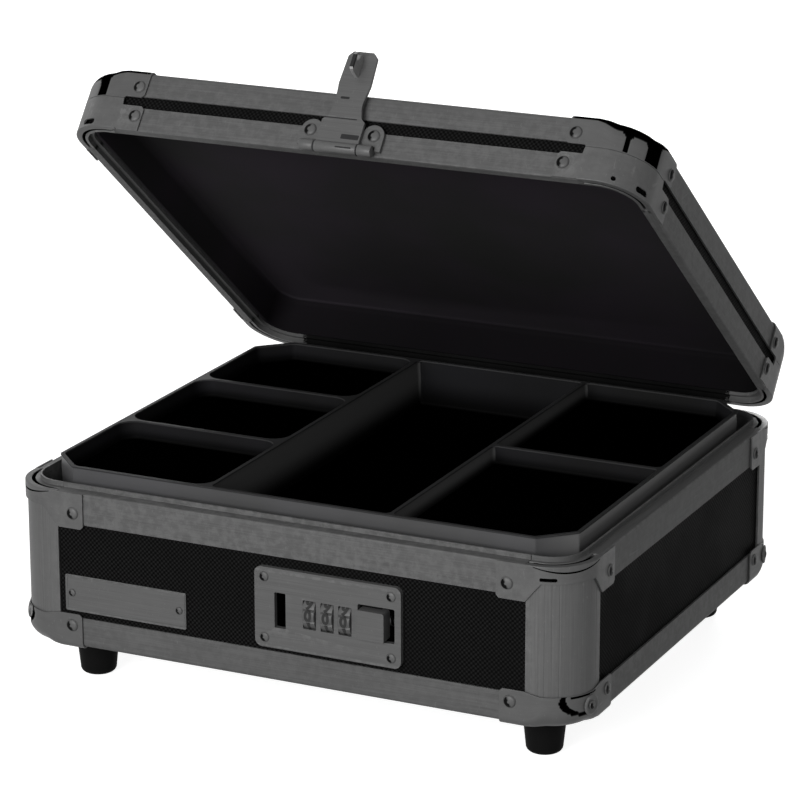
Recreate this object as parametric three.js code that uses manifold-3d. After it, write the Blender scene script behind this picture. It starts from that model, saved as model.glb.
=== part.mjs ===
// Combination cash box: an aluminium-framed case with a rear-hinged lid, a hasp, a lock
// with three combination wheels and a release slide, and a moulded tray inside.
// Millimetres. +Z is up, +X is to the right seen from the front, and the front faces -Y.
// The origin is the centre of the floor board's underside.
// The lid stands open, the hasp is flipped up on the lid and the release slide is at rest.
import * as THREE from 'three';
import { mergeVertices } from 'three/addons/utils/BufferGeometryUtils.js';
import Module from 'manifold-3d';

const wasm = await Module();
wasm.setup();

// Case as a whole
const caseWidth = 324;
const caseDepth = 284;
const baseHeight = 85.5;
const lidHeight = 34;
const cornerRadius = 24;
const lidOpenAngle = 38.8;

// Gaps: between fitted pieces, and between the closed lid and the base
const seatGap = 0.25;
const runningGap = 0.3;
const partingGap = 0.4;

// Sheet and board thicknesses
const railThickness = 1.2;
const bracketThickness = 0.9;
const boardThickness = 5;

// Frame rails
const baseTopRailHeight = 17.3;
const baseBottomRailHeight = 16.3;
const lidTopRailHeight = 14;
const lidLowerRailHeight = 13.3;
const railFlangeWidth = 16;
const railEdgeRadius = 2.5;
const railEdgeChamfer = 0.7;
const innerLegDrop = 10;
const tongueHeight = 2.5;
const tongueClearance = 0.7;
const lidRailFlange = 5.5;

// Lid shell and its lining
const shellChamfer = 2;
const liningThickness = 2;
const liningCove = 4;

// Corner posts
const postLeg = 28.3;
const postSlotDepth = 3.4;
const postWall = 1.4;
const postHollowMargin = 6;
const grooveDepth = 0.4;
const grooveWidth = 1;
const groovedFlats = 2;

// Corner brackets
const ballRadius = 9;
const ballSpread = 2.5;
const baseTopLeaf = 44;
const baseTopLeafDrop = 19.5;
const baseTopCornerDrop = 9.2;
const baseBottomLeaf = 42;
const baseBottomLeafRise = 18.3;
const baseBottomCornerRise = 16.5;
const lidLowerLeaf = 44.5;
const lidLowerLeafRise = 13.9;
const lidSeam = 17.8;
const lidSeamReach = 31;
const lidSeamStep = 0.6;
const lidUpperLeaf = 42.5;
const lidUpperLeafStart = 19;
const leafCornerCut = 1.6;
const edgeSlope = 3;
const bracketFlange = 15;
const rivetRadius = 3.2;
const rivetHeight = 1.4;
const baseTopRivet = { reach: 38, level: 11 };
const baseBottomRivet = { reach: 36, level: 12 };
const lidLowerRivet = { reach: 40.5, level: 8 };
const lidUpperRivet = { reach: 38, level: 9.2 };
const cornerSlot = { width: 6.5, height: 1.6, drop: 5.2, angle: 70 };
const lidCornerSlot = { width: 6.5, height: 2.4, rise: 3.8, angle: 28 };
const lidCornerHole = { radius: 1.1, rise: 3.4, angle: 65 };
const cornerBoss = { radius: 5.2, height: 0.8, rise: 9.5, angle: 76, slope: 0.8 };
const cornerBossRivet = { radius: 2.2, height: 1 };

// Feet
const footInsetX = 31.4;
const footInsetY = 33;
const footDrop = 26;
const footTopRadius = 12.2;
const footBottomRadius = 9.7;
const footEdgeRadius = 3.2;
const footMargin = 4;

// Tray, measured from the base's rim
const traySideGap = 6.05;
const trayEndGap = 7.55;
const trayRise = 9.2;
const trayHeight = 28.7;
const trayCorner = 17;
const trayWall = 2;
const trayDraft = 0.035;
const sideCupDepth = 10.2;
const centreCupDepth = 26.4;
const trayColumnLine = 52;
const trayRightLine = 0;
const trayLeftLine = 43;
const leftCupRadius = 10;
const cupRadius = 3;
const cupFloorBevel = 1.2;
const trayBearing = 4;
const ledgeHeight = 6;
const ledgeEndGap = 33;
const floorBevelRun = 1.8;
const underWall = 3;

// Nameplate on the front board
const nameplate = { inset: 67.6, z: 28.2, width: 72, height: 20, thickness: 1, corner: 0.8 };
const nameplateRivet = { inset: 4, radius: 1.9, height: 0.7 };

// Lock plate, with its staple slot, wheel windows and button window. It keeps a gap to the
// rails above and below the front board, and what lies on it is measured from its middle.
const lockX = 24.7;
const lockPlateWidth = 83;
const lockPlateGap = 4.2;
const lockPlateLowering = 1.5;
const lockPlateThickness = 3;
const lockPlateCorner = 3;
const lockPlateBevel = 0.8;
const lockRivet = { insetX: 5.5, insetZ: 5.25, radius: 2.5, height: 0.9 };
const lockSlotWidth = 7;
const lockSlotHeight = 15.5;
const lockSlotDrop = 2.4;
const lockSlotReach = 25.5;

// Combination wheels, coaxial along X
const wheelCount = 3;
const wheelDigits = 10;
const wheelRadius = 10;
const wheelWidth = 6.9;
const wheelPitch = 10.1;
const wheelNotch = 0.7;
const wheelNotchAngle = 5;
const wheelDrop = 0.7;
const wheelProud = 2.2;
const windowWidth = 7.4;
const windowHeight = 15.5;
const windowSides = 30;
const wheelClearance = 0.4;
const shaftRadius = 1.6;
const wheelBoreRadius = 1.85;
const camRadius = 4.4;
const camWidth = 1.3;
const camGate = 1.6;
const camGateDepth = 1.6;

// Lock case behind the plate
const lockCaseReach = { left: 33.2, right: 39.7, low: 15.7, high: 14.1 };
const lockCaseDepth = 16.6;
const lockCaseWall = 1.2;
const shaftRibWidth = 1;
const ribSeat = 0.2;

// Release slide: button, carrier, bar, riser and latch pin
const buttonWidth = 15.6;
const buttonHeight = 15.8;
const buttonProud = 2.9;
const buttonBevel = 0.8;
const buttonCorner = 0.6;
const buttonDrop = 0.2;
const buttonReach = 17.6;
const buttonFloor = 0.5;
const buttonHeadroom = 2.2;
const slideTravel = 4.5;
const carrierThickness = 1.5;
const carrierWidth = 18;
const carrierHeight = 18.6;
const barHeight = 2.8;
const barDepth = 3.4;
const riserWidth = 2.4;
const latchPinRadius = 1.6;
const latchReach = 2.1;
const latchClearance = 1.7;

// Return spring
const springRadius = 2.6;
const springWire = 0.8;
const springTurns = 7;
const springAxisDepth = 8;
const springLug = 1.5;

// Hasp, hinged on the lid's front
const haspBaseWidth = 47;
const haspBaseThickness = 2;
const haspBaseLow = 2.2;
const haspEarTop = 16.7;
const haspEarRadius = 6.2;
const haspMiddleTop = 12.2;
const haspRivetSpacing = 36;
const haspAxisProud = 3.9;
const haspAxisZ = 1.2;
const haspBarrelRadius = 3;
const haspPinRadius = 1.2;
const haspBoreRadius = 1.45;
const haspKnuckle = 8;
const strapRootWidth = 24;
const strapRootLength = 17;
const strapNeckStart = 5;
const strapNeckWidth = 15.6;
const strapLeverStart = 19;
const strapLeverWidth = 18;
const strapTipWidth = 14.6;
const strapLength = 54.4;
const strapThickness = 1.9;
const stapleWidth = 3.4;
const stapleLength = 10.4;
const stapleReach = 9.2;
const stapleTaper = { first: 0.6, second: 1.8, last: 3.8 };
const stapleEye = 2.4;

// Rear hinge
const hingeEndGap = 2.5;
const hingeKnuckles = 9;
const hingeAxisProud = 3.4;
const hingeAxisDrop = 2.65;
const hingeBarrelRadius = 2.5;
const hingePinRadius = 1.1;
const hingeBoreRadius = 1.4;
const hingeLeafThickness = 1;
const hingeBaseLeafHeight = 12.5;
const hingeLidLeafHeight = 10.5;
const hingeLeafRelief = 1.8;
const knuckleGap = 0.4;
const hingeRivets = 5;
const hingeRivet = { level: 7.2, radius: 2.2, height: 0.9 };

// Round shapes: steps in a quarter turn, and sides of small round pieces
const cornerSteps = 6;
const filletSteps = 3;
const rivetSides = 10;
const smallRivetSides = 8;
const smallSides = 12;
const barrelSides = 14;
const hingeSides = 10;
const footSides = 20;

// Levels and depths that follow. Depths run inwards from the frame's outer faces.
const boardOuter = railThickness + seatGap;
const boardInner = boardOuter + boardThickness;
const frameDepth = boardInner + seatGap + railThickness;
const bracketInner = -seatGap;
const bracketOuter = -seatGap - bracketThickness;
const frameBottom = -seatGap - railThickness;
const rimZ = frameBottom + baseHeight;
const lidZ = rimZ + partingGap;
const lidTopZ = lidZ + lidHeight;
const railEnd = postLeg + seatGap;
const halfWidth = caseWidth / 2;
const halfDepth = caseDepth / 2;
const trayWidth = 2 * (halfWidth - boardInner - traySideGap);
const trayDepth = 2 * (halfDepth - boardInner - trayEndGap);
const ledgeLength = trayDepth - 2 * ledgeEndGap;
const hingeLength = caseWidth - 2 * (lidLowerLeaf + hingeEndGap);
const hingeAxisY = halfDepth + hingeAxisProud;
const hingeAxisZ = rimZ - hingeAxisDrop;
const panelLow = frameBottom + baseBottomRailHeight;
const panelHigh = rimZ - baseTopRailHeight;
const lockPlateHeight = panelHigh - panelLow - 2 * lockPlateGap;
const lockZ = (panelLow + panelHigh) / 2 - lockPlateLowering;
const lockSlotZ = lockZ - lockSlotDrop;
const hardwareX = lockX - lockSlotReach;
const wheelZ = lockZ - wheelDrop;
const lockCaseLeft = lockX - lockCaseReach.left;
const lockCaseRight = lockX + lockCaseReach.right;
const lockCaseLow = lockZ - lockCaseReach.low;
const lockCaseHigh = lockZ + lockCaseReach.high;
const buttonZ = lockZ - buttonDrop;
const buttonStart = lockX + buttonReach;

const sides = [
  { name: 'front', turn: 0, x: 0, y: -halfDepth, length: caseWidth },
  { name: 'right', turn: 1, x: halfWidth, y: 0, length: caseDepth },
  { name: 'rear', turn: 2, x: 0, y: halfDepth, length: caseWidth },
  { name: 'left', turn: 3, x: -halfWidth, y: 0, length: caseDepth },
];
const corners = [
  { name: 'front_left', turn: 0, x: -halfWidth, y: -halfDepth },
  { name: 'front_right', turn: 1, x: halfWidth, y: -halfDepth },
  { name: 'rear_right', turn: 2, x: halfWidth, y: halfDepth },
  { name: 'rear_left', turn: 3, x: -halfWidth, y: halfDepth },
];

const material = (color, roughness, metalness) =>
  new THREE.MeshStandardMaterial({ color, roughness, metalness });
const railMetal = material(0x5e5e60, 0.42, 0.8);
const bracketMetal = material(0x66666a, 0.3, 0.9);
const laminate = material(0x17171a, 0.65, 0.0);
const liningFabric = material(0x1a1a1e, 0.9, 0.0);
const trayPlastic = material(0x232326, 0.45, 0.0);
const footRubber = material(0x101011, 0.7, 0.0);
const lockMetal = material(0x646468, 0.35, 0.85);
const wheelMetal = material(0x55555a, 0.35, 0.8);
const innerSteel = material(0x8a8a8c, 0.4, 0.9);

// Solids

function toSolid(geometry) {
  const bare = geometry.clone();
  bare.deleteAttribute('normal');
  bare.deleteAttribute('uv');
  const merged = mergeVertices(bare, 1e-4);
  const vertProperties = new Float32Array(merged.attributes.position.array);
  const triVerts = new Uint32Array(merged.index.array);
  return new wasm.Manifold(new wasm.Mesh({ numProp: 3, vertProperties, triVerts }));
}

function toGeometry(solid) {
  const mesh = solid.getMesh();
  const geometry = new THREE.BufferGeometry();
  geometry.setAttribute('position', new THREE.BufferAttribute(mesh.vertProperties.slice(), 3));
  geometry.setIndex(new THREE.BufferAttribute(mesh.triVerts.slice(), 1));
  geometry.computeVertexNormals();
  return geometry;
}

const join = (first, ...others) =>
  others.reduce((whole, piece) => whole.add(toSolid(piece)), toSolid(first));
const cut = (solid, ...tools) =>
  tools.reduce((rest, tool) => rest.subtract(toSolid(tool)), solid);

function block(x0, x1, y0, y1, z0, z1) {
  const geometry = new THREE.BoxGeometry(x1 - x0, y1 - y0, z1 - z0);
  return geometry.translate((x0 + x1) / 2, (y0 + y1) / 2, (z0 + z1) / 2);
}

const shapeOf = (points) => new THREE.Shape(points.map(([x, y]) => new THREE.Vector2(x, y)));

function extrude(shape, length, options = {}) {
  return new THREE.ExtrudeGeometry(shape, {
    depth: length, bevelEnabled: false, curveSegments: filletSteps, ...options,
  });
}

// A shape in (Y, Z) drawn out along X, and one in (X, Z) drawn out along Y
const turnToX = new THREE.Matrix4().set(0, 0, 1, 0, 1, 0, 0, 0, 0, 1, 0, 0, 0, 0, 0, 1);
const alongX = (shape, x0, x1, options) =>
  extrude(shape, x1 - x0, options).applyMatrix4(turnToX).translate(x0, 0, 0);
const alongY = (shape, y0, y1, options) =>
  extrude(shape, y1 - y0, options).rotateX(Math.PI / 2).translate(0, y1, 0);

function rodX(radius, x0, x1, y, z, side = smallSides) {
  const rod = new THREE.CylinderGeometry(radius, radius, x1 - x0, side);
  return rod.rotateZ(Math.PI / 2).translate((x0 + x1) / 2, y, z);
}

function roundedRect(width, height, radius) {
  const x = width / 2;
  const y = height / 2;
  const shape = new THREE.Shape();
  shape.moveTo(x - radius, -y);
  shape.absarc(x - radius, -y + radius, radius, -Math.PI / 2, 0);
  shape.absarc(x - radius, y - radius, radius, 0, Math.PI / 2);
  shape.absarc(-x + radius, y - radius, radius, Math.PI / 2, Math.PI);
  shape.absarc(-x + radius, -y + radius, radius, Math.PI, Math.PI * 1.5);
  return shape;
}

// A domed head whose flat back lies on y = face and whose dome points to -Y
function rivetHead(x, face, z, radius = rivetRadius, height = rivetHeight) {
  const embed = bracketThickness / 2;
  const small = radius < rivetRadius;
  const shoulder = small ? [] : [[radius * 0.72, height * 0.85]];
  const profile = [
    [0, -embed], [radius, -embed], [radius, height * 0.35], ...shoulder, [0, height],
  ].map(([r, h]) => new THREE.Vector2(r, h));
  const head = new THREE.LatheGeometry(profile, small ? smallRivetSides : rivetSides);
  return head.rotateX(Math.PI).translate(x, face, z);
}

// A closed skin over a row of loops, each an array of Vector3, capped with flat outlines
function skin(loops, firstFlat, lastFlat) {
  const count = loops[0].length;
  const positions = loops.flat().flatMap((p) => [p.x, p.y, p.z]);
  const faces = [];
  for (let i = 0; i < loops.length - 1; i += 1) {
    for (let j = 0; j < count; j += 1) {
      const a = i * count + j;
      const b = i * count + ((j + 1) % count);
      faces.push([a, b, b + count], [a, b + count, a + count]);
    }
  }
  // The triangulation is counter-clockwise whichever way round its outline runs
  const capFaces = (outline) => {
    const points = outline.map(([x, y]) => new THREE.Vector2(x, y));
    const triangles = THREE.ShapeUtils.triangulateShape(points, []);
    const clockwise = THREE.ShapeUtils.isClockWise(points);
    return triangles.map(([a, b, c]) => (clockwise ? [a, c, b] : [a, b, c]));
  };
  const last = (loops.length - 1) * count;
  for (const [a, b, c] of capFaces(firstFlat)) faces.push([a, c, b]);
  for (const [a, b, c] of capFaces(lastFlat)) faces.push([last + a, last + b, last + c]);
  const point = (i) => new THREE.Vector3().fromArray(positions, 3 * i);
  const volume = faces.reduce(
    (sum, [a, b, c]) => sum + point(a).dot(point(b).cross(point(c))), 0,
  );
  const index = faces.flatMap(([a, b, c]) => (volume > 0 ? [a, b, c] : [a, c, b]));
  const geometry = new THREE.BufferGeometry();
  geometry.setAttribute('position', new THREE.Float32BufferAttribute(positions, 3));
  geometry.setIndex(index);
  return geometry;
}

// A rounded rectangle as a loop of points, counter-clockwise
function rectLoop(x, y, width, height, radius, steps = cornerSteps) {
  const points = [];
  for (let quarter = 0; quarter < 4; quarter += 1) {
    const sx = quarter === 0 || quarter === 3 ? 1 : -1;
    const sy = quarter < 2 ? 1 : -1;
    for (let i = 0; i <= steps; i += 1) {
      const angle = (quarter + i / steps) * Math.PI / 2;
      points.push([
        x + sx * (width / 2 - radius) + radius * Math.cos(angle),
        y + sy * (height / 2 - radius) + radius * Math.sin(angle),
      ]);
    }
  }
  return points;
}

// Levels are { z, loop }, from low to high
function loft(levels) {
  const loops = levels.map(({ z, loop }) => loop.map(([x, y]) => new THREE.Vector3(x, y, z)));
  return skin(loops, levels[0].loop, levels[levels.length - 1].loop);
}

// Stations round a case corner: down one leg, round the arc and out along the other leg.
// A leg station is a distance from the virtual corner. bend is 0 on the legs and grows
// to 1 in the middle of the arc.
function cornerStations(reaches) {
  const legX = reaches.map((reach) => ({ x: reach, y: 0, nx: 0, ny: 1, reach, bend: 0 }));
  const legY = [...legX].reverse().map((s) => ({ ...s, x: s.y, y: s.x, nx: 1, ny: 0 }));
  const arc = [];
  for (let i = 0; i <= cornerSteps; i += 1) {
    const angle = (i / cornerSteps) * Math.PI / 2;
    arc.push({
      x: cornerRadius * (1 - Math.sin(angle)),
      y: cornerRadius * (1 - Math.cos(angle)),
      nx: Math.sin(angle),
      ny: Math.cos(angle),
      reach: cornerRadius,
      bend: Math.min(i, cornerSteps - i) / (cornerSteps / 2),
    });
  }
  return [...legX, ...arc, ...legY];
}

// Sweeps a section of [depth, z] points through the stations of a corner
function cornerSweep(stations, sectionOf) {
  const loops = stations.map((s) =>
    sectionOf(s).map(([u, z]) => new THREE.Vector3(s.x + s.nx * u, s.y + s.ny * u, z)));
  return skin(loops, sectionOf(stations[0]), sectionOf(stations[stations.length - 1]));
}

// Turns a tool drawn at the front leg's face, at x = corner radius, round the arc by degrees
function onArc(geometry, degrees) {
  return geometry.translate(-cornerRadius, -cornerRadius, 0)
    .rotateZ(-THREE.MathUtils.degToRad(degrees))
    .translate(cornerRadius, cornerRadius, 0);
}

// Scene graph

const cashBox = new THREE.Group();
const base = new THREE.Group();
const lid = new THREE.Group();
const lidClosed = new THREE.Group();
lid.position.set(0, hingeAxisY, hingeAxisZ);
lid.rotation.x = -THREE.MathUtils.degToRad(lidOpenAngle);
lidClosed.position.set(0, -hingeAxisY, -hingeAxisZ);
lid.add(lidClosed);
cashBox.add(base, lid);

function add(parent, name, solid, surface, place) {
  const geometry = solid.isBufferGeometry ? toGeometry(toSolid(solid)) : toGeometry(solid);
  const mesh = new THREE.Mesh(geometry, surface);
  mesh.name = name;
  if (place) {
    mesh.position.set(place.x, place.y, 0);
    mesh.rotation.z = place.turn * Math.PI / 2;
  }
  parent.add(mesh);
  return mesh;
}

const front = sides[0];
const rear = sides[2];

// Frame rails

function edgeArc(centreU, centreZ, fromAngle) {
  const points = [];
  for (let i = 0; i <= filletSteps; i += 1) {
    const angle = fromAngle + (i / filletSteps) * Math.PI / 2;
    points.push([
      centreU + railEdgeRadius * Math.cos(angle),
      centreZ + railEdgeRadius * Math.sin(angle),
    ]);
  }
  return points;
}

// Outer web, top flange over the board's edge, and an inner leg that rises as the tongue
const legOuter = frameDepth - railThickness;
const baseTopSection = shapeOf([
  [0, rimZ - baseTopRailHeight], [railThickness, rimZ - baseTopRailHeight],
  [railThickness, rimZ - railThickness], [legOuter, rimZ - railThickness],
  [legOuter, rimZ - innerLegDrop], [frameDepth, rimZ - innerLegDrop],
  [frameDepth, rimZ + tongueHeight], [legOuter, rimZ + tongueHeight],
  [legOuter, rimZ], [railEdgeChamfer, rimZ], [0, rimZ - railEdgeChamfer],
]);

// An L under the floor board's edge with a rounded outer edge
const baseBottomSection = shapeOf([
  [0, frameBottom + baseBottomRailHeight],
  ...edgeArc(railEdgeRadius, frameBottom + railEdgeRadius, Math.PI),
  [railFlangeWidth, frameBottom], [railFlangeWidth, frameBottom + railThickness],
  [railThickness, frameBottom + railThickness],
  [railThickness, frameBottom + baseBottomRailHeight],
]);

// The lid's lower rail steps up inside its flange to clear the base's tongue
const shelfZ = lidZ + tongueHeight - partingGap + tongueClearance;
const lidLowerPoints = (thickness) => [
  [lidRailFlange, lidZ], [lidRailFlange, shelfZ], [frameDepth, shelfZ],
  [frameDepth, lidZ + innerLegDrop], [frameDepth - thickness, lidZ + innerLegDrop],
  [frameDepth - thickness, shelfZ + thickness],
  [lidRailFlange - thickness, shelfZ + thickness],
  [lidRailFlange - thickness, lidZ + thickness],
];
const lidLowerSection = shapeOf([
  [0, lidZ + railEdgeChamfer], [railEdgeChamfer, lidZ], ...lidLowerPoints(railThickness),
  [railThickness, lidZ + railThickness],
  [railThickness, lidZ + lidLowerRailHeight], [0, lidZ + lidLowerRailHeight],
]);

const lidTopSection = shapeOf([
  [0, lidTopZ - lidTopRailHeight], [railThickness, lidTopZ - lidTopRailHeight],
  [railThickness, lidTopZ - railThickness], [railFlangeWidth, lidTopZ - railThickness],
  [railFlangeWidth, lidTopZ],
  ...edgeArc(railEdgeRadius, lidTopZ - railEdgeRadius, Math.PI / 2),
]);

function addRails(parent, prefix, section) {
  for (const side of sides) {
    const half = side.length / 2 - railEnd;
    add(parent, `${prefix}_${side.name}`, alongX(section, -half, half), railMetal, side);
  }
}
addRails(base, 'base_top_rail', baseTopSection);
addRails(base, 'base_bottom_rail', baseBottomSection);
addRails(lidClosed, 'lid_lower_rail', lidLowerSection);
addRails(lidClosed, 'lid_top_rail', lidTopSection);

// Boards

const boardEnd = postLeg - postSlotDepth + seatGap;
const boardTop = rimZ - railThickness - seatGap;

const floorInset = frameDepth + seatGap;
const floorCorner = cornerRadius - floorInset;
const floorLoop = (insetX, insetY) =>
  rectLoop(0, 0, caseWidth - 2 * insetX, caseDepth - 2 * insetY, floorCorner);
const floorEdge = floorLoop(floorInset, floorInset);
// The underside's middle is a face of its own, clear of the feet
const footClear = footTopRadius + footMargin;
const floorMiddle = floorLoop(footInsetX + footClear, footInsetY + footClear);
add(base, 'base_floor_board', loft([
  { z: 0, loop: floorMiddle }, { z: 0, loop: floorEdge }, { z: boardThickness, loop: floorEdge },
]), laminate);

function sideBoard(side) {
  const half = side.length / 2 - boardEnd;
  return block(-half, half, boardOuter, boardInner, 0, boardTop);
}

const lockOpening = block(
  lockCaseLeft - seatGap, lockCaseRight + seatGap, boardOuter - 1, boardInner + 1,
  lockCaseLow - seatGap, lockCaseHigh + seatGap,
);
add(base, 'base_front_board', cut(toSolid(sideBoard(front)), lockOpening), laminate, front);
add(base, 'base_rear_board', sideBoard(rear), laminate, rear);

// The tray rests on a ledge glued to each side board
const trayTopZ = rimZ + trayRise;
const trayBottomZ = trayTopZ - trayHeight;
const trayBottomInset = trayHeight * trayDraft;
const ledgeTop = trayBottomZ - seatGap;
const ledgeInner = halfWidth - (trayWidth / 2 - trayBottomInset - trayBearing);
for (const side of [sides[1], sides[3]]) {
  const ledge = block(
    -ledgeLength / 2, ledgeLength / 2, boardInner - 1, ledgeInner,
    ledgeTop - ledgeHeight, ledgeTop,
  );
  add(base, `base_${side.name}_board`, join(sideBoard(side), ledge), laminate, side);
}

// Corner posts: a hollow quarter-round with a slot for each board's edge

function quarterArc(radius, fromAngle, toAngle, steps = cornerSteps) {
  return Array.from({ length: steps + 1 }, (_, i) => {
    const angle = THREE.MathUtils.degToRad(fromAngle + (toAngle - fromAngle) * (i / (steps || 1)));
    return [cornerRadius - radius * Math.sin(angle), cornerRadius - radius * Math.cos(angle)];
  });
}

// The outer arc, in flats that match the brackets', has a groove in its end flats
function groovedArc() {
  const flat = 90 / cornerSteps;
  const half = THREE.MathUtils.radToDeg(grooveWidth / 2 / cornerRadius);
  const chord = (offset) => cornerRadius * Math.cos(THREE.MathUtils.degToRad(flat / 2))
    / Math.cos(THREE.MathUtils.degToRad(offset));
  const points = [];
  for (let i = 0; i < cornerSteps; i += 1) {
    points.push(...quarterArc(cornerRadius, i * flat, i * flat, 0));
    if (Math.min(i, cornerSteps - 1 - i) < groovedFlats) {
      for (const [offset, depth] of [[-half, 0], [0, grooveDepth], [half, 0]]) {
        const angle = (i + 0.5) * flat + offset;
        points.push(...quarterArc(chord(offset) - depth, angle, angle, 0));
      }
    }
  }
  return [...points, ...quarterArc(cornerRadius, 90, 90, 0)];
}

const postBottom = frameBottom - seatGap - bracketThickness + ballRadius + seatGap;
const postTop = rimZ - bracketThickness - seatGap;
function postSection() {
  const web = postLeg - postSlotDepth;
  const slotOuter = railThickness;
  const slotInner = frameDepth - railThickness;
  const shape = shapeOf([
    [postLeg, 0], [postLeg, slotOuter], [web, slotOuter], [web, slotInner],
    [postLeg, slotInner], [postLeg, frameDepth],
    ...quarterArc(cornerRadius - frameDepth, 0, 90),
    [frameDepth, postLeg], [slotInner, postLeg], [slotInner, web], [slotOuter, web],
    [slotOuter, postLeg], [0, postLeg], ...groovedArc().reverse(),
  ]);
  const hole = [
    ...quarterArc(cornerRadius - postWall, postHollowMargin, 90 - postHollowMargin),
    ...quarterArc(cornerRadius - frameDepth + postWall, postHollowMargin, 90 - postHollowMargin).reverse(),
  ];
  shape.holes.push(new THREE.Path(hole.map(([x, y]) => new THREE.Vector2(x, y))));
  return shape;
}
for (const corner of corners) {
  const post = extrude(postSection(), postTop - postBottom).translate(0, 0, postBottom);
  add(base, `corner_post_${corner.name}`, post, railMetal, corner);
}

// Corner brackets

// A slot through a bracket's wall on the arc
function arcSlot({ width, height, angle }, z) {
  const slot = block(
    cornerRadius - width / 2, cornerRadius + width / 2, bracketOuter - bracketThickness,
    bracketInner + bracketThickness, z - height / 2, z + height / 2,
  );
  return onArc(slot, angle);
}

// A wall that hugs the frame's outer faces between two heights given for each station
function bracketWall(stations, lowOf, highOf) {
  return cornerSweep(stations, (s) => [
    [bracketOuter, lowOf(s)], [bracketInner, lowOf(s)],
    [bracketInner, highOf(s)], [bracketOuter, highOf(s)],
  ]);
}

function bracketRivets(reach, z) {
  const head = rivetHead(0, bracketOuter, z);
  const second = head.clone().rotateZ(-Math.PI / 2).translate(0, reach, 0);
  return [head.translate(reach, 0, 0), second];
}

// How far a station's edge is cut back: by the cut corner at the leaf's end, and by a
// drop that starts where the posts' legs end and is whole half way to the arc's middle
const leafEnd = (s, leaf) => (s.reach > leaf - leafCornerCut / 2 ? leafCornerCut : 0);
const edgeCut = (s, leaf, drop) =>
  (s.reach >= postLeg ? leafEnd(s, leaf) : drop * Math.min(1, edgeSlope * s.bend));

function baseTopBracket() {
  const stations = cornerStations([baseTopLeaf, baseTopLeaf - leafCornerCut, postLeg]);
  const drop = baseTopLeafDrop - baseTopCornerDrop;
  const low = (s) => rimZ - baseTopLeafDrop + edgeCut(s, baseTopLeaf, drop);
  const wall = bracketWall(stations, low, () => rimZ);
  const inner = frameDepth - bracketThickness;
  const rim = cornerSweep(cornerStations([postLeg]), () => [
    [bracketOuter, rimZ - bracketThickness], [frameDepth, rimZ - bracketThickness],
    [frameDepth, rimZ + tongueHeight], [inner, rimZ + tongueHeight],
    [inner, rimZ], [bracketOuter, rimZ],
  ]);
  const rivets = bracketRivets(baseTopRivet.reach, rimZ - baseTopRivet.level);
  return cut(join(wall, rim, ...rivets), arcSlot(cornerSlot, rimZ - cornerSlot.drop));
}

// A wall whose outer edge rolls over into a flange: tight along the leaves, and a ball
// round the corner. side is -1 for a bracket under the base, 1 for one over the lid.
function ballBracket(stations, edgeZ, side, faceZ) {
  const leafRadius = railEdgeRadius + seatGap + bracketThickness;
  return cornerSweep(stations, (s) => {
    const radius = leafRadius + (ballRadius - leafRadius) * Math.min(1, ballSpread * s.bend);
    const roll = (r, direction) => Array.from({ length: filletSteps + 1 }, (_, i) => {
      const angle = (i / filletSteps) * Math.PI / 2;
      const turn = direction > 0 ? angle : Math.PI / 2 - angle;
      return [
        bracketOuter + radius - r * Math.cos(turn),
        faceZ - side * (radius - r * Math.sin(turn)),
      ];
    });
    return [
      [bracketOuter, edgeZ(s)], ...roll(radius, 1), [bracketFlange, faceZ],
      [bracketFlange, faceZ - side * bracketThickness],
      ...roll(radius - bracketThickness, -1), [bracketInner, edgeZ(s)],
    ];
  });
}

const ballUnderZ = frameBottom - seatGap - bracketThickness;
const ballOverZ = lidTopZ + seatGap + bracketThickness;

// A round pressed boss with its own rivet, on the arc towards the case's side
function arcBoss(z, onSecondLeg) {
  const boss = new THREE.CylinderGeometry(
    cornerBoss.radius - cornerBoss.slope, cornerBoss.radius,
    cornerBoss.height + bracketThickness / 2,
    barrelSides,
  ).rotateX(Math.PI).translate(
    cornerRadius, bracketOuter - cornerBoss.height / 2 + bracketThickness / 4, z,
  );
  const { radius, height } = cornerBossRivet;
  const head = rivetHead(cornerRadius, bracketOuter - cornerBoss.height, z, radius, height);
  const angle = onSecondLeg ? cornerBoss.angle : 90 - cornerBoss.angle;
  return [onArc(boss, angle), onArc(head, angle)];
}

function baseBottomBracket(corner) {
  const stations = cornerStations([baseBottomLeaf, baseBottomLeaf - leafCornerCut, postLeg]);
  const drop = baseBottomLeafRise - baseBottomCornerRise;
  const edge = (s) => frameBottom + baseBottomLeafRise - edgeCut(s, baseBottomLeaf, drop);
  const shell = ballBracket(stations, edge, -1, ballUnderZ);
  const rivets = bracketRivets(baseBottomRivet.reach, frameBottom + baseBottomRivet.level);
  const boss = arcBoss(frameBottom + cornerBoss.rise, corner.turn % 2 === 0);
  return join(shell, ...rivets, ...boss);
}

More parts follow.
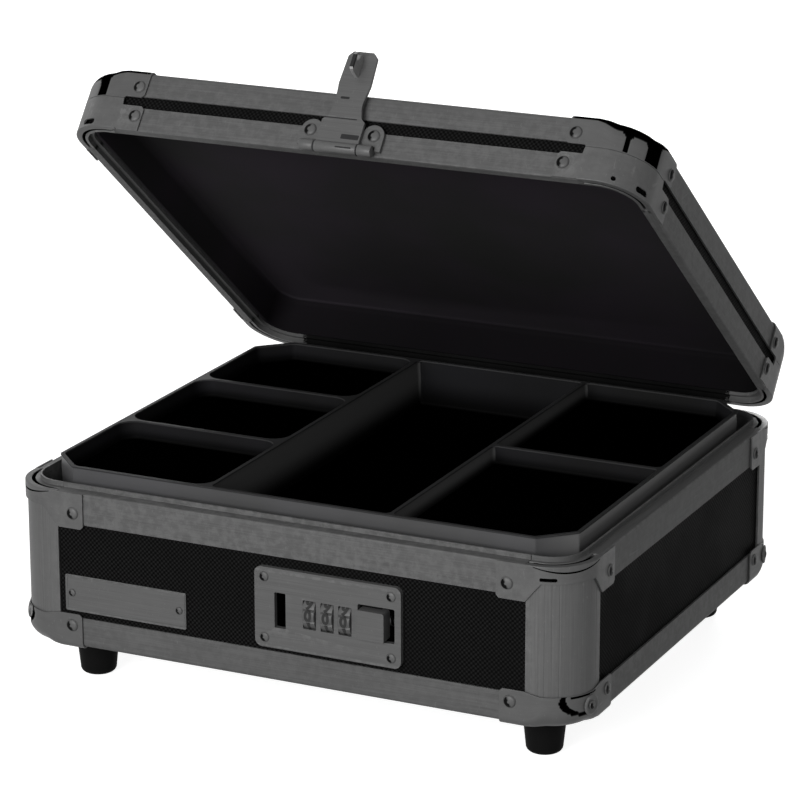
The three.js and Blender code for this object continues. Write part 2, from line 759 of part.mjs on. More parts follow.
// The lid's lower bracket rises to the seam inside the leaves, where the strip is covered
function lidLowerBracket() {
  const stations = cornerStations([
    lidLowerLeaf, lidLowerLeaf - leafCornerCut, lidSeamReach + lidSeamStep, lidSeamReach,
  ]);
  const high = (s) => {
    if (s.reach <= lidSeamReach) return lidZ + lidSeam;
    return lidZ + lidLowerLeafRise - leafEnd(s, lidLowerLeaf);
  };
  const wall = bracketWall(stations, () => lidZ, high);
  const rim = cornerSweep(cornerStations([postLeg]), () => [
    [bracketOuter, lidZ], ...lidLowerPoints(bracketThickness),
    [bracketOuter, lidZ + bracketThickness],
  ]);
  const rivets = bracketRivets(lidLowerRivet.reach, lidZ + lidLowerRivet.level);
  const { radius, rise, angle } = lidCornerHole;
  const hole = rodX(radius, 2 * bracketOuter, -2 * bracketOuter, 0, 0, smallRivetSides)
    .rotateZ(Math.PI / 2).translate(cornerRadius, 0, lidZ + rise);
  const slot = arcSlot(lidCornerSlot, lidZ + lidCornerSlot.rise);
  return cut(join(wall, rim, ...rivets), onArc(hole, angle), slot);
}

function lidUpperBracket() {
  const stations = cornerStations([
    lidUpperLeaf, lidUpperLeaf - leafCornerCut, lidSeamReach + lidSeamStep, lidSeamReach,
  ]);
  const edge = (s) => {
    if (s.reach <= lidSeamReach) return lidZ + lidSeam + seatGap;
    return lidZ + lidUpperLeafStart + leafEnd(s, lidUpperLeaf);
  };
  const shell = ballBracket(stations, edge, 1, ballOverZ);
  return join(shell, ...bracketRivets(lidUpperRivet.reach, lidTopZ - lidUpperRivet.level));
}

for (const corner of corners) {
  add(base, `base_top_bracket_${corner.name}`, baseTopBracket(), bracketMetal, corner);
  add(base, `base_bottom_bracket_${corner.name}`, baseBottomBracket(corner), bracketMetal, corner);
  add(lidClosed, `lid_lower_bracket_${corner.name}`, lidLowerBracket(), bracketMetal, corner);
  add(lidClosed, `lid_upper_bracket_${corner.name}`, lidUpperBracket(), bracketMetal, corner);
}

// Feet

function footProfile() {
  const top = -seatGap;
  const bottom = frameBottom - footDrop;
  const points = [[0, top], [footTopRadius, top]];
  for (let i = 0; i <= filletSteps; i += 1) {
    const angle = (i / filletSteps) * Math.PI / 2;
    points.push([
      footBottomRadius - footEdgeRadius * (1 - Math.cos(angle)),
      bottom + footEdgeRadius * (1 - Math.sin(angle)),
    ]);
  }
  points.push([0, bottom]);
  return points.reverse().map(([r, z]) => new THREE.Vector2(r, z));
}
for (const corner of corners) {
  const foot = new THREE.LatheGeometry(footProfile(), footSides).rotateX(Math.PI / 2).translate(
    Math.sign(corner.x) * (halfWidth - footInsetX),
    Math.sign(corner.y) * (halfDepth - footInsetY), 0,
  );
  add(base, `foot_${corner.name}`, foot, footRubber);
}

// Lid shell and lining

function ring(inset, z) {
  const radius = cornerRadius - inset;
  return { z, loop: rectLoop(0, 0, caseWidth - 2 * inset, caseDepth - 2 * inset, radius) };
}

const shellBottom = shelfZ + railThickness + seatGap;
const shellTop = lidTopZ - railThickness - seatGap;
const lidShell = cut(
  toSolid(loft([
    ring(boardOuter, shellBottom), ring(boardOuter, shellTop - shellChamfer),
    ring(boardOuter + shellChamfer, shellTop),
  ])),
  loft([ring(boardInner, shellBottom - 1), ring(boardInner, shellTop - boardThickness)]),
);
add(lidClosed, 'lid_shell', lidShell, laminate);

const liningOuter = frameDepth + seatGap;
const liningTop = shellTop - boardThickness - seatGap;
const lining = cut(
  toSolid(loft([ring(liningOuter, shellBottom), ring(liningOuter, liningTop)])),
  loft([
    ring(liningOuter + liningThickness, shellBottom - 1),
    ring(liningOuter + liningThickness, liningTop - liningThickness - liningCove),
    ring(liningOuter + liningThickness + liningCove, liningTop - liningThickness),
  ]),
);
add(lidClosed, 'lid_lining', lining, liningFabric);

// Tray

// Cups are { x, y, width, depth, down, radius }
function trayCups() {
  const half = trayWidth / 2 - trayWall;
  const halfY = trayDepth / 2 - trayWall;
  const edge = trayColumnLine + trayWall / 2;
  const span = (low, high) => ({ middle: (low + high) / 2, size: high - low });
  const cup = (x, y, down, radius) => ({
    x: x.middle, y: y.middle, width: x.size, depth: y.size, down, radius,
  });
  const centreX = span(-trayColumnLine + trayWall / 2, trayColumnLine - trayWall / 2);
  const rightX = span(edge, half);
  const leftX = span(-half, -edge);
  const w = trayWall / 2;
  return [
    cup(centreX, span(-halfY, halfY), centreCupDepth, cupRadius),
    cup(rightX, span(-halfY, trayRightLine - w), sideCupDepth, cupRadius),
    cup(rightX, span(trayRightLine + w, halfY), sideCupDepth, cupRadius),
    cup(leftX, span(-halfY, -trayLeftLine - w), sideCupDepth, leftCupRadius),
    cup(leftX, span(-trayLeftLine + w, trayLeftLine - w), sideCupDepth, leftCupRadius),
    cup(leftX, span(trayLeftLine + w, halfY), sideCupDepth, leftCupRadius),
  ];
}

// The tray's outline, and its inside, are rectangles with cut corners
function cutCornerLoop(inset, cutBack) {
  const x = trayWidth / 2 - inset;
  const y = trayDepth / 2 - inset;
  const c = trayCorner - cutBack;
  return [
    [x, -y + c], [x, y - c], [x - c, y], [-x + c, y],
    [-x, y - c], [-x, -y + c], [-x + c, -y], [x - c, -y],
  ];
}

function trayLoft(inset, low, high) {
  const back = inset * (2 - Math.SQRT2);
  const lean = (z) => inset + (trayTopZ - z) * trayDraft;
  return toSolid(loft([low, high].map((z) => ({ z, loop: cutCornerLoop(lean(z), back) }))));
}

function cupSolid({ x, y, width, depth, down, radius }, inside) {
  const bottom = trayTopZ - down;
  const taper = (z) => 2 * (trayTopZ - z) * trayDraft;
  const at = (z, trim) => ({
    z,
    loop: rectLoop(
      x, y, width - taper(z) - 2 * trim, depth - taper(z) - 2 * trim, radius, filletSteps,
    ),
  });
  const levels = [at(bottom, floorBevelRun), at(bottom + cupFloorBevel, 0), at(trayTopZ + 1, 0)];
  return toSolid(loft(levels))
    .intersect(inside);
}

function tray() {
  const inside = trayLoft(trayWall, trayBottomZ - 1, trayTopZ + 2);
  let solid = trayLoft(0, trayBottomZ, trayTopZ);
  const cups = trayCups();
  for (const cup of cups) solid = solid.subtract(cupSolid(cup, inside));
  // The underside is hollow beneath the shallow cups, as a moulding is
  const sideInner = trayColumnLine + underWall;
  const ceiling = trayTopZ - sideCupDepth - trayWall;
  for (const sign of [-1, 1]) {
    const [x0, x1] = [sign * sideInner, sign * trayWidth].sort((a, b) => a - b);
    const hollow = block(x0, x1, -trayDepth, trayDepth, trayBottomZ - 1, ceiling);
    solid = solid.subtract(toSolid(hollow).intersect(inside));
  }
  return solid;
}
add(base, 'tray', tray(), trayPlastic);

// Nameplate

function nameplateSolid() {
  const { inset, z, width, height, thickness, corner } = nameplate;
  const x = inset - halfWidth;
  const back = boardOuter - seatGap;
  const plate = alongY(roundedRect(width, height, corner), back - thickness, back)
    .translate(x, 0, z);
  const heads = [-1, 1].map((side) => rivetHead(
    x + side * (width / 2 - nameplateRivet.inset), back - thickness, z,
    nameplateRivet.radius, nameplateRivet.height,
  ));
  return join(plate, ...heads);
}
add(base, 'nameplate', nameplateSolid(), lockMetal, front);

// Lock plate

const plateBack = boardOuter - seatGap;
const plateFace = plateBack - lockPlateThickness;
const wheelAxisDepth = plateFace - wheelProud + wheelRadius;
const wheelXs = Array.from(
  { length: wheelCount }, (_, i) => lockX + (i - (wheelCount - 1) / 2) * wheelPitch,
);

function lockPlate() {
  const bevelled = extrude(
    roundedRect(
      lockPlateWidth - 2 * lockPlateBevel, lockPlateHeight - 2 * lockPlateBevel,
      lockPlateCorner,
    ),
    lockPlateThickness - lockPlateBevel,
    {
      bevelEnabled: true, bevelSize: lockPlateBevel, bevelThickness: lockPlateBevel,
      bevelSegments: 1, bevelOffset: 0,
    },
  ).rotateX(Math.PI / 2).translate(lockX, plateBack, lockZ);
  const plate = toSolid(bevelled).subtract(
    toSolid(block(
      lockX - lockPlateWidth, lockX + lockPlateWidth, plateBack, plateBack + lockPlateThickness,
      lockZ - lockPlateHeight, lockZ + lockPlateHeight,
    )),
  );
  const heads = [[-1, -1], [-1, 1], [1, -1], [1, 1]].map(([sx, sz]) => rivetHead(
    lockX + sx * (lockPlateWidth / 2 - lockRivet.insetX), plateFace,
    lockZ + sz * (lockPlateHeight / 2 - lockRivet.insetZ),
    lockRivet.radius, lockRivet.height,
  ));
  const slot = block(
    hardwareX - lockSlotWidth / 2, hardwareX + lockSlotWidth / 2, plateFace - 5, plateBack + 5,
    lockSlotZ - lockSlotHeight / 2, lockSlotZ + lockSlotHeight / 2,
  );
  const windows = wheelXs.flatMap((x) => [
    block(
      x - windowWidth / 2, x + windowWidth / 2, plateFace - 5, plateBack + 5,
      wheelZ - windowHeight / 2, wheelZ + windowHeight / 2,
    ),
    rodX(
      wheelRadius + wheelClearance, x - windowWidth / 2, x + windowWidth / 2,
      wheelAxisDepth, wheelZ, windowSides,
    ),
  ]);
  const window = block(
    buttonStart - runningGap, buttonStart + buttonWidth + slideTravel + runningGap,
    plateFace - 5, plateBack + 5,
    buttonZ - buttonHeight / 2 - buttonFloor, buttonZ + buttonHeight / 2 + buttonHeadroom,
  );
  return cut(heads.reduce((whole, head) => whole.add(toSolid(head)), plate),
    slot, window, ...windows);
}
add(base, 'lock_plate', lockPlate(), lockMetal, front);

// Lock case with the wheels' shaft between two ribs

const caseFront = boardOuter;
const caseBack = caseFront + lockCaseDepth;
const wheelsLeft = wheelXs[0] - wheelWidth / 2;
const wheelsRight = wheelXs[wheelCount - 1] + wheelWidth / 2 + camWidth;
const ribs = [
  [wheelsLeft - runningGap - shaftRibWidth, wheelsLeft - runningGap],
  [wheelsRight + runningGap, wheelsRight + runningGap + shaftRibWidth],
];
const barLow = lockCaseLow + lockCaseWall + runningGap;
const barHigh = barLow + barHeight;
const slideFront = plateBack + runningGap;

function lockCase() {
  const w = lockCaseWall;
  const shell = cut(
    toSolid(block(lockCaseLeft, lockCaseRight, caseFront, caseBack, lockCaseLow, lockCaseHigh)),
    block(
      lockCaseLeft + w, lockCaseRight - w, caseFront - 1, caseBack - w,
      lockCaseLow + w, lockCaseHigh - w,
    ),
  );
  const ribFront = slideFront + carrierThickness + runningGap;
  const inner = ribs.map(([x0, x1]) => block(
    x0, x1, ribFront, caseBack - w / 2, barHigh + runningGap, lockCaseHigh - w / 2,
  ));
  const shaft = rodX(
    shaftRadius, ribs[0][0] + ribSeat, ribs[1][1] - ribSeat, wheelAxisDepth, wheelZ,
  );
  return [...inner, shaft].reduce((whole, piece) => whole.add(toSolid(piece)), shell);
}
add(base, 'lock_case', lockCase(), innerSteel, front);

// Combination wheels: ten faces between thumb notches, and a gated cam on the right

function wheelShape() {
  const step = 360 / wheelDigits;
  const points = [];
  for (let i = 0; i < wheelDigits; i += 1) {
    const middle = 90 + i * step;
    const stops = [
      [-step / 2, wheelRadius - wheelNotch], [-step / 2 + wheelNotchAngle, wheelRadius],
      [step / 2 - wheelNotchAngle, wheelRadius],
    ];
    for (const [offset, radius] of stops) {
      const angle = THREE.MathUtils.degToRad(middle + offset);
      points.push([radius * Math.cos(angle), radius * Math.sin(angle)]);
    }
  }
  return shapeOf(points);
}

function wheel(x) {
  const half = wheelWidth / 2;
  const rim = alongX(wheelShape(), x - half, x + half);
  const cam = rodX(camRadius, x + half - 0.5, x + half + camWidth, 0, 0, 16);
  const bore = rodX(wheelBoreRadius, x - wheelWidth, x + wheelWidth, 0, 0);
  const gate = block(
    x + half, x + half + camWidth + 1, -camGate / 2, camGate / 2,
    -camRadius - 1, -camRadius + camGateDepth,
  );
  const solid = cut(join(rim, cam), bore, gate);
  return solid.translate([0, wheelAxisDepth, wheelZ]);
}
['left', 'middle', 'right'].forEach((name, i) => {
  add(base, `dial_wheel_${name}`, wheel(wheelXs[i]), wheelMetal, front);
});

// Release slide

const buttonLeft = buttonStart;
const carrierLeft = ribs[1][1] - shaftRibWidth;
const stapleRight = hardwareX + stapleWidth / 2;
const riserLeft = stapleRight + latchClearance;
const springZ = wheelZ;
const latchDepth = slideFront + barDepth / 2;

function releaseSlide() {
  const button = extrude(
    roundedRect(buttonWidth - 2 * buttonBevel, buttonHeight - 2 * buttonBevel, buttonCorner),
    slideFront + carrierThickness - plateFace + buttonProud - 2 * buttonBevel,
    {
      bevelEnabled: true, bevelSize: buttonBevel, bevelThickness: buttonBevel,
      bevelSegments: 2,
    },
  ).rotateX(Math.PI / 2).translate(
    buttonLeft + buttonWidth / 2, slideFront + carrierThickness - buttonBevel, buttonZ,
  );
  const carrierLow = buttonZ - carrierHeight / 2;
  const carrier = block(
    carrierLeft, carrierLeft + carrierWidth, slideFront, slideFront + carrierThickness,
    carrierLow, carrierLow + carrierHeight,
  );
  const web = block(
    buttonLeft, carrierLeft + carrierWidth, slideFront, slideFront + carrierThickness,
    barLow, carrierLow + 1,
  );
  const bar = block(
    riserLeft, carrierLeft + carrierWidth, slideFront, slideFront + barDepth,
    barLow, barHigh,
  );
  const riser = block(
    riserLeft, riserLeft + riserWidth, slideFront, slideFront + barDepth,
    barLow, lockSlotZ + latchPinRadius,
  );
  const pin = rodX(
    latchPinRadius, stapleRight - latchReach, riserLeft + riserWidth / 2, latchDepth,
    lockSlotZ,
  );
  const lug = block(
    buttonLeft, buttonLeft + springLug, slideFront, slideFront + springAxisDepth + springRadius,
    springZ - springRadius, springZ + springRadius,
  );
  return join(button, carrier, web, bar, riser, pin, lug);
}
add(base, 'release_slide', releaseSlide(), lockMetal, front);

// A coil from the slide's lug to the lock case's right wall, one unbroken tube
function returnSpring() {
  const start = buttonLeft + springLug + runningGap;
  const end = lockCaseRight - lockCaseWall - runningGap;
  const stepsPerTurn = 8;
  const sectionSides = 5;
  const steps = springTurns * stepsPerTurn;
  const wire = springWire / 2;
  const centre = (i) => {
    const angle = (i / stepsPerTurn) * 2 * Math.PI;
    const x = start + wire + (end - start - springWire) * (i / steps);
    return new THREE.Vector3(
      x, springRadius * Math.cos(angle), springRadius * Math.sin(angle),
    );
  };
  const loops = [];
  for (let i = 0; i <= steps; i += 1) {
    const middle = centre(i);
    const outward = new THREE.Vector3(0, middle.y, middle.z).normalize();
    const sideways = new THREE.Vector3(1, 0, 0);
    loops.push(Array.from({ length: sectionSides }, (_, j) => {
      const angle = (j / sectionSides) * 2 * Math.PI;
      return middle.clone().addScaledVector(outward, wire * Math.cos(angle))
        .addScaledVector(sideways, wire * Math.sin(angle));
    }));
  }
  const flat = Array.from({ length: sectionSides }, (_, j) => {
    const angle = (j / sectionSides) * 2 * Math.PI;
    return [Math.cos(angle), Math.sin(angle)];
  });
  const pitch = (end - start - springWire) / springTurns;
  console.log(`spring: least gap between turns ${(pitch - springWire).toFixed(2)} mm`);
  return skin(loops, flat, flat).translate(0, slideFront + springAxisDepth, springZ);
}
add(base, 'release_spring', returnSpring(), innerSteel, front);

// Hasp base on the lid's front, with the barrel's outer knuckles and its pin

const haspZ = lidZ + haspAxisZ;
const haspAxisDepth = -haspAxisProud;
const haspBack = -seatGap;
const haspFace = haspBack - haspBaseThickness;
const strapRootHalf = strapRootWidth / 2;
const knuckleInner = strapRootHalf + runningGap;

function haspBaseShape() {
  const half = haspBaseWidth / 2;
  const r = haspEarRadius;
  const earX = half - r;
  const earZ = haspEarTop - r;
  const shape = new THREE.Shape();
  shape.moveTo(-half, haspBaseLow);
  shape.lineTo(half, haspBaseLow);
  shape.absarc(earX, earZ, r, 0, Math.PI * 0.82);
  shape.lineTo(earX - r, haspMiddleTop);
  shape.lineTo(-earX + r, haspMiddleTop);
  shape.absarc(-earX, earZ, r, Math.PI * 0.18, Math.PI);
  shape.lineTo(-half, haspBaseLow);
  return shape;
}

function haspBase() {
  const plate = alongY(haspBaseShape(), haspFace, haspBack).translate(0, 0, lidZ);
  const relief = block(
    -knuckleInner, knuckleInner, haspFace - haspBaseThickness, haspBack + haspBaseThickness,
    lidZ - haspBarrelRadius, haspZ + haspBarrelRadius + runningGap,
  );
  const spans = [
    [-knuckleInner - haspKnuckle, -knuckleInner], [knuckleInner, knuckleInner + haspKnuckle],
  ];
  const knuckles = spans.map(([x0, x1]) => rodX(
    haspBarrelRadius, x0, x1, haspAxisDepth, haspZ, barrelSides,
  ));
  // The plate's metal rolls over the top of each knuckle
  const webs = spans.map(([x0, x1]) => block(
    x0, x1, haspAxisDepth, haspFace + haspBaseThickness / 2,
    haspZ + haspBarrelRadius - haspBaseThickness, haspZ + haspBarrelRadius,
  ));
  const pin = rodX(
    haspPinRadius, -knuckleInner - haspKnuckle / 2, knuckleInner + haspKnuckle / 2,
    haspAxisDepth, haspZ,
  );
  const heads = [-1, 1].map((side) => rivetHead(
    side * haspRivetSpacing / 2, haspFace, lidZ + haspEarTop - haspEarRadius,
  ));
  const solid = cut(toSolid(plate), relief);
  return [...knuckles, ...webs, pin, ...heads]
    .reduce((whole, piece) => whole.add(toSolid(piece)), solid)
    .translate([hardwareX, 0, 0]);
}
add(lidClosed, 'hasp_base', haspBase(), lockMetal, front);

// Strap, flipped up: root, neck, lever with a cut-cornered tip, and the staple's eye tab

const stapleZ = haspZ + (haspZ - lockSlotZ);

function strapShape() {
  const tipCut = 2.6;
  const neck = strapRootLength + strapNeckStart;
  const swell = strapRootLength + strapLeverStart;
  const right = [
    [strapRootHalf, 0], [strapRootHalf, strapRootLength - 2],
    [strapRootHalf - 2.4, strapRootLength], [strapNeckWidth / 2 + 0.4, neck],
    [strapNeckWidth / 2, neck + 3], [strapLeverWidth / 2 - 0.6, swell - 5],
    [strapLeverWidth / 2, swell], [strapTipWidth / 2 + 0.9, strapLength - tipCut],
    [strapTipWidth / 2 - tipCut * 0.6, strapLength],
  ];
  const left = right.map(([x, z]) => [-x, z]).reverse();
  return shapeOf([...right, ...left]);
}

function haspStrap() {
  const face = haspAxisDepth - strapThickness / 2;
  const plate = alongY(strapShape(), face, face + strapThickness);
  const root = join(plate, rodX(
    haspBarrelRadius, -strapRootHalf, strapRootHalf, haspAxisDepth, 0, barrelSides,
  ));
  const bore = rodX(
    haspBoreRadius, -strapRootWidth, strapRootWidth, haspAxisDepth, 0, smallSides,
  );
  const middle = stapleZ - haspZ;
  const half = stapleLength / 2;
  const back = face + strapThickness / 2;
  const tip = face - stapleReach;
  const { first, second, last } = stapleTaper;
  const tab = alongX(shapeOf([
    [back, middle - half], [tip + 4, middle - half + first],
    [tip + 1, middle - half + second], [tip, middle - half + last],
    [tip, middle + half - last], [tip + 1, middle + half - second],
    [tip + 4, middle + half - first], [back, middle + half],
  ]), -stapleWidth / 2, stapleWidth / 2);
  const eye = rodX(
    stapleEye, -stapleWidth, stapleWidth, 2 * haspAxisDepth - latchDepth, middle, barrelSides,
  );
  return cut(root, bore).add(toSolid(tab)).subtract(toSolid(eye))
    .translate([hardwareX, 0, haspZ]);
}
add(lidClosed, 'hasp_strap', haspStrap(), lockMetal, front);

// Rear hinge, drawn in the rear side's frame: leaves on the rails, a barrel outside

const hingeDepth = -hingeAxisProud;
const knuckleLength = hingeLength / hingeKnuckles;

function knuckleSpans(parity) {
  const spans = [];
  for (let i = parity; i < hingeKnuckles; i += 2) {
    const start = -hingeLength / 2 + i * knuckleLength;
    spans.push([start + knuckleGap / 2, start + knuckleLength - knuckleGap / 2]);
  }
  return spans;
}

// direction is -1 for the leaf below the barrel and 1 for the one above it
function hingeLeaf(parity, direction, height) {
  const back = -seatGap;
  const face = back - hingeLeafThickness;
  const order = (a, b) => [hingeAxisZ + Math.min(a, b), hingeAxisZ + Math.max(a, b)];
  const far = direction * height;
  const plate = block(
    -hingeLength / 2, hingeLength / 2, face, back, ...order(direction * hingeLeafRelief, far),
  );
  const tabs = knuckleSpans(parity).flatMap(([x0, x1]) => [
    block(x0, x1, face, back, ...order(0, direction * (hingeLeafRelief + hingeBarrelRadius))),
    rodX(hingeBarrelRadius, x0, x1, hingeDepth, hingeAxisZ, hingeSides),
  ]);
  const rivetSpacing = hingeLength / hingeRivets;
  const { level, radius, height: proud } = hingeRivet;
  const heads = Array.from({ length: hingeRivets }, (_, i) => rivetHead(
    -hingeLength / 2 + (i + 0.5) * rivetSpacing, face, hingeAxisZ + direction * level,
    radius, proud,
  ));
  return join(plate, ...tabs, ...heads);
}
const hingePin = rodX(
  hingePinRadius, -hingeLength / 2 + knuckleGap, hingeLength / 2 - knuckleGap, hingeDepth,
  hingeAxisZ, hingeSides,
);
const hingeBore = rodX(
  hingeBoreRadius, -hingeLength / 2 - 1, hingeLength / 2 + 1, hingeDepth, hingeAxisZ,
  hingeSides,
);
const baseLeaf = hingeLeaf(0, -1, hingeBaseLeafHeight).add(toSolid(hingePin));
const lidLeaf = cut(hingeLeaf(1, 1, hingeLidLeafHeight), hingeBore);
add(base, 'hinge_base_leaf', baseLeaf, railMetal, rear);
add(lidClosed, 'hinge_lid_leaf', lidLeaf, railMetal, rear);

export default cashBox;
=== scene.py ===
"""The dressed combination cash box: metal-edged black panels, a lid held open on its rear
hinge, a moulded tray, a three-wheel lock with a release slide, and the flipped-up hasp."""

import bmesh
import bpy
import numpy as np
from mathutils import Matrix, Vector
from mathutils.geometry import tessellate_polygon


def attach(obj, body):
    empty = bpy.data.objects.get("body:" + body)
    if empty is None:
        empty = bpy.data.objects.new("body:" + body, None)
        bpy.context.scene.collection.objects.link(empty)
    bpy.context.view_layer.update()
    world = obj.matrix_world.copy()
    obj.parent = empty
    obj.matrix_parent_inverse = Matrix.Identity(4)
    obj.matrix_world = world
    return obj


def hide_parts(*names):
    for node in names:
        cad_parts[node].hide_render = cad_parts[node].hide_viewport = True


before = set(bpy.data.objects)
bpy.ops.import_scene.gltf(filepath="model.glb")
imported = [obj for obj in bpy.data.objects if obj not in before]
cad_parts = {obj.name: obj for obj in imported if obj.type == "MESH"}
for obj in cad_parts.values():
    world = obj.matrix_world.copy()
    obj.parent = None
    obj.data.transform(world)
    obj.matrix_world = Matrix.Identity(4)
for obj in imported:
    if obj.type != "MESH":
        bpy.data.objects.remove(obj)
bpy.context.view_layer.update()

# Sizes in millimetres, as the solids have them. Depths run inwards from the frame's faces.
MM = 0.001
WIDTH, DEPTH, CORNER = 324.0, 284.0, 24.0
BOTTOM, RIM, LID, LID_TOP = -1.45, 84.05, 84.45, 118.45
RAIL, SKIN, SEAT = 1.2, 0.9, 0.25
FRAME_DEPTH, TONGUE, OUTER, INNER = 7.9, 6.7, -1.15, -0.25
TONGUE_RISE = 2.5
SHELF = 87.25
LEG = 28.3
FOOT_DROP = 26
HINGE_Y, HINGE_Z = 145.4, 81.4
OPEN = np.radians(38.8)
ARC_STEPS = 28

SIDES = {"front": (0, 0, -DEPTH / 2), "right": (1, WIDTH / 2, 0),
         "rear": (2, 0, DEPTH / 2), "left": (3, -WIDTH / 2, 0)}
CORNERS = {"front_left": (0, -WIDTH / 2, -DEPTH / 2), "front_right": (1, WIDTH / 2, -DEPTH / 2),
           "rear_right": (2, WIDTH / 2, DEPTH / 2), "rear_left": (3, -WIDTH / 2, DEPTH / 2)}


# Shells. A shell is (points, corners, counts, uv): points in millimetres, the corner list of
# every face in a row, each face's number of corners, and a UV pair in metres per corner.

def shell(points, faces, uv):
    """Rows of corner numbers, one array for each face size, put into one long list."""
    corners = np.concatenate([f.ravel() for f in faces]).astype(np.int64)
    counts = np.concatenate([np.full(len(f), f.shape[1]) for f in faces])
    return points, corners, counts, uv[corners]


def joined(*shells):
    """Shells side by side in one: each one's corner numbers grow by the points before it."""
    before = np.cumsum([0] + [len(s[0]) for s in shells[:-1]])
    return (np.concatenate([s[0] for s in shells]),
            np.concatenate([s[1] + n for s, n in zip(shells, before)]),
            np.concatenate([s[2] for s in shells]), np.concatenate([s[3] for s in shells]))


def grid_uv(u, v):
    """A UV pair for each point of a grid, from lengths in millimetres."""
    return np.stack(np.broadcast_arrays(u, v), axis=-1) * MM


def outward(made):
    """Turns a closed shell's faces outwards: where the sum of its fan triangles' signed
    volumes is below zero, every face's corners are read backwards."""
    points, corners, counts, uv = made
    starts = np.cumsum(counts) - counts
    face = np.repeat(np.arange(len(counts)), counts)
    step = np.arange(len(corners)) - starts[face]
    middle = np.flatnonzero((step > 0) & (step < counts[face] - 1))
    a = points[corners[starts[face[middle]]]]
    b, c = points[corners[middle]], points[corners[middle + 1]]
    if np.einsum("ij,ij->", a, np.cross(b, c)) < 0:
        back = starts[face] + counts[face] - 1 - step
        return points, corners[back], counts, uv[back]
    return made


def moved(made, turn, shift=(0, 0, 0)):
    """Every point times a 3 x 3 turn, plus a shift."""
    points, corners, counts, uv = made
    return points @ np.asarray(turn, float).T + np.asarray(shift, float), corners, counts, uv


def shifted(made, shift):
    """Every point plus a shift."""
    return moved(made, np.eye(3), shift)


def quarter_turn(quarters):
    """The turn about Z by whole quarters."""
    c, s = round(np.cos(quarters * np.pi / 2)), round(np.sin(quarters * np.pi / 2))
    return np.array([[c, -s, 0], [s, c, 0], [0, 0, 1]])


def at_side(made, name):
    """From a side's own frame (along, inwards, up) to the case's."""
    quarters, x, y = SIDES[name]
    return moved(made, quarter_turn(quarters), (x, y, 0))


def at_corner(made, name):
    """From a corner's own frame, both legs inwards, to the case's."""
    quarters, x, y = CORNERS[name]
    return moved(made, quarter_turn(quarters), (x, y, 0))


def opened(made):
    """Turns a piece of the closed lid about the rear hinge to the angle it stands open at."""
    c, s = np.cos(OPEN), np.sin(OPEN)
    turn = np.array([[1, 0, 0], [0, c, s], [0, -s, c]])
    pivot = np.array([0, HINGE_Y, HINGE_Z])
    return moved(made, turn, pivot - turn @ pivot)


def skin(rows, uv, caps=True):
    """Quads between neighbouring rows of a grid whose rows close on themselves, with one flat
    face on the first and on the last row."""
    count, size = rows.shape[:2]
    a = (np.arange(count - 1)[:, None] * size + np.arange(size)).ravel()
    b = (np.arange(count - 1)[:, None] * size + (np.arange(size) + 1) % size).ravel()
    faces = [np.stack([a, b, b + size, a + size], axis=1)]
    if caps:
        ring = np.arange(size)
        faces += [ring[::-1][None], ring[None] + (count - 1) * size]
    return shell(rows.reshape(-1, 3), faces, uv.reshape(-1, 2))


def run_of(points):
    """Length along a row of points, from its first one."""
    steps = np.linalg.norm(np.diff(points, axis=0), axis=1)
    return np.concatenate([[0.0], np.cumsum(steps)])


def swept(path, section, start=0.0):
    """A closed section of (depth, height) points carried along a path of (x, y, inward normal
    x, y) stations: point = station + normal * depth, at the section's height. U runs along
    the path and V round the section."""
    section = np.broadcast_to(section, (len(path),) + np.shape(section)[-2:])
    depth, height = section[..., 0], section[..., 1]
    rows = np.stack([path[:, 0, None] + path[:, 2, None] * depth,
                     path[:, 1, None] + path[:, 3, None] * depth, height], axis=-1)
    along, round_it = run_of(path[:, :2]), run_of(section[0])
    return outward(skin(rows, grid_uv(along[:, None] + start, round_it[None])))


def revolved(profile, sides=32):
    """(radius, height) points turned about Z. UV is how far round and how far along the
    profile a point lies, both from 0 to 1."""
    profile = np.asarray(profile, float)
    angle = np.arange(sides) * 2 * np.pi / sides
    rows = np.stack([profile[:, :1] * np.cos(angle), profile[:, :1] * np.sin(angle),
                     np.repeat(profile[:, 1:], sides, axis=1)], axis=-1)
    along = run_of(profile)
    turned, share = angle[None] / (2 * np.pi), along[:, None] / along[-1]
    uv = np.stack(np.broadcast_arrays(turned, share), axis=-1)
    made = outward(skin(rows, uv))
    # The last quad of each ring runs on to 1 instead of back to 0
    quads = made[3][:(len(profile) - 1) * sides * 4].reshape(-1, 4, 2)
    back = (np.ptp(quads[..., 0], axis=1) > 0.5)[:, None] & (quads[..., 0] < 0.5)
    quads[..., 0] += back
    return made


def levelled(loops, heights):
    """Flat loops of equal counts as rows of (x, y, z) points, each loop at its height."""
    loops = np.asarray(loops, float)
    z = np.asarray(heights, float)[:, None, None]
    return np.concatenate([loops, np.broadcast_to(z, loops.shape[:2] + (1,))], axis=-1)


def upward_uv(rows):
    """U runs round the first row, and V is a row's height."""
    return grid_uv(run_of(rows[0])[None], rows[:, 0, 2][:, None])


def stacked(loops, heights):
    """Level loops of equal counts, one above the other, closed to a solid."""
    rows = levelled(loops, heights)
    return outward(skin(rows, upward_uv(rows)))


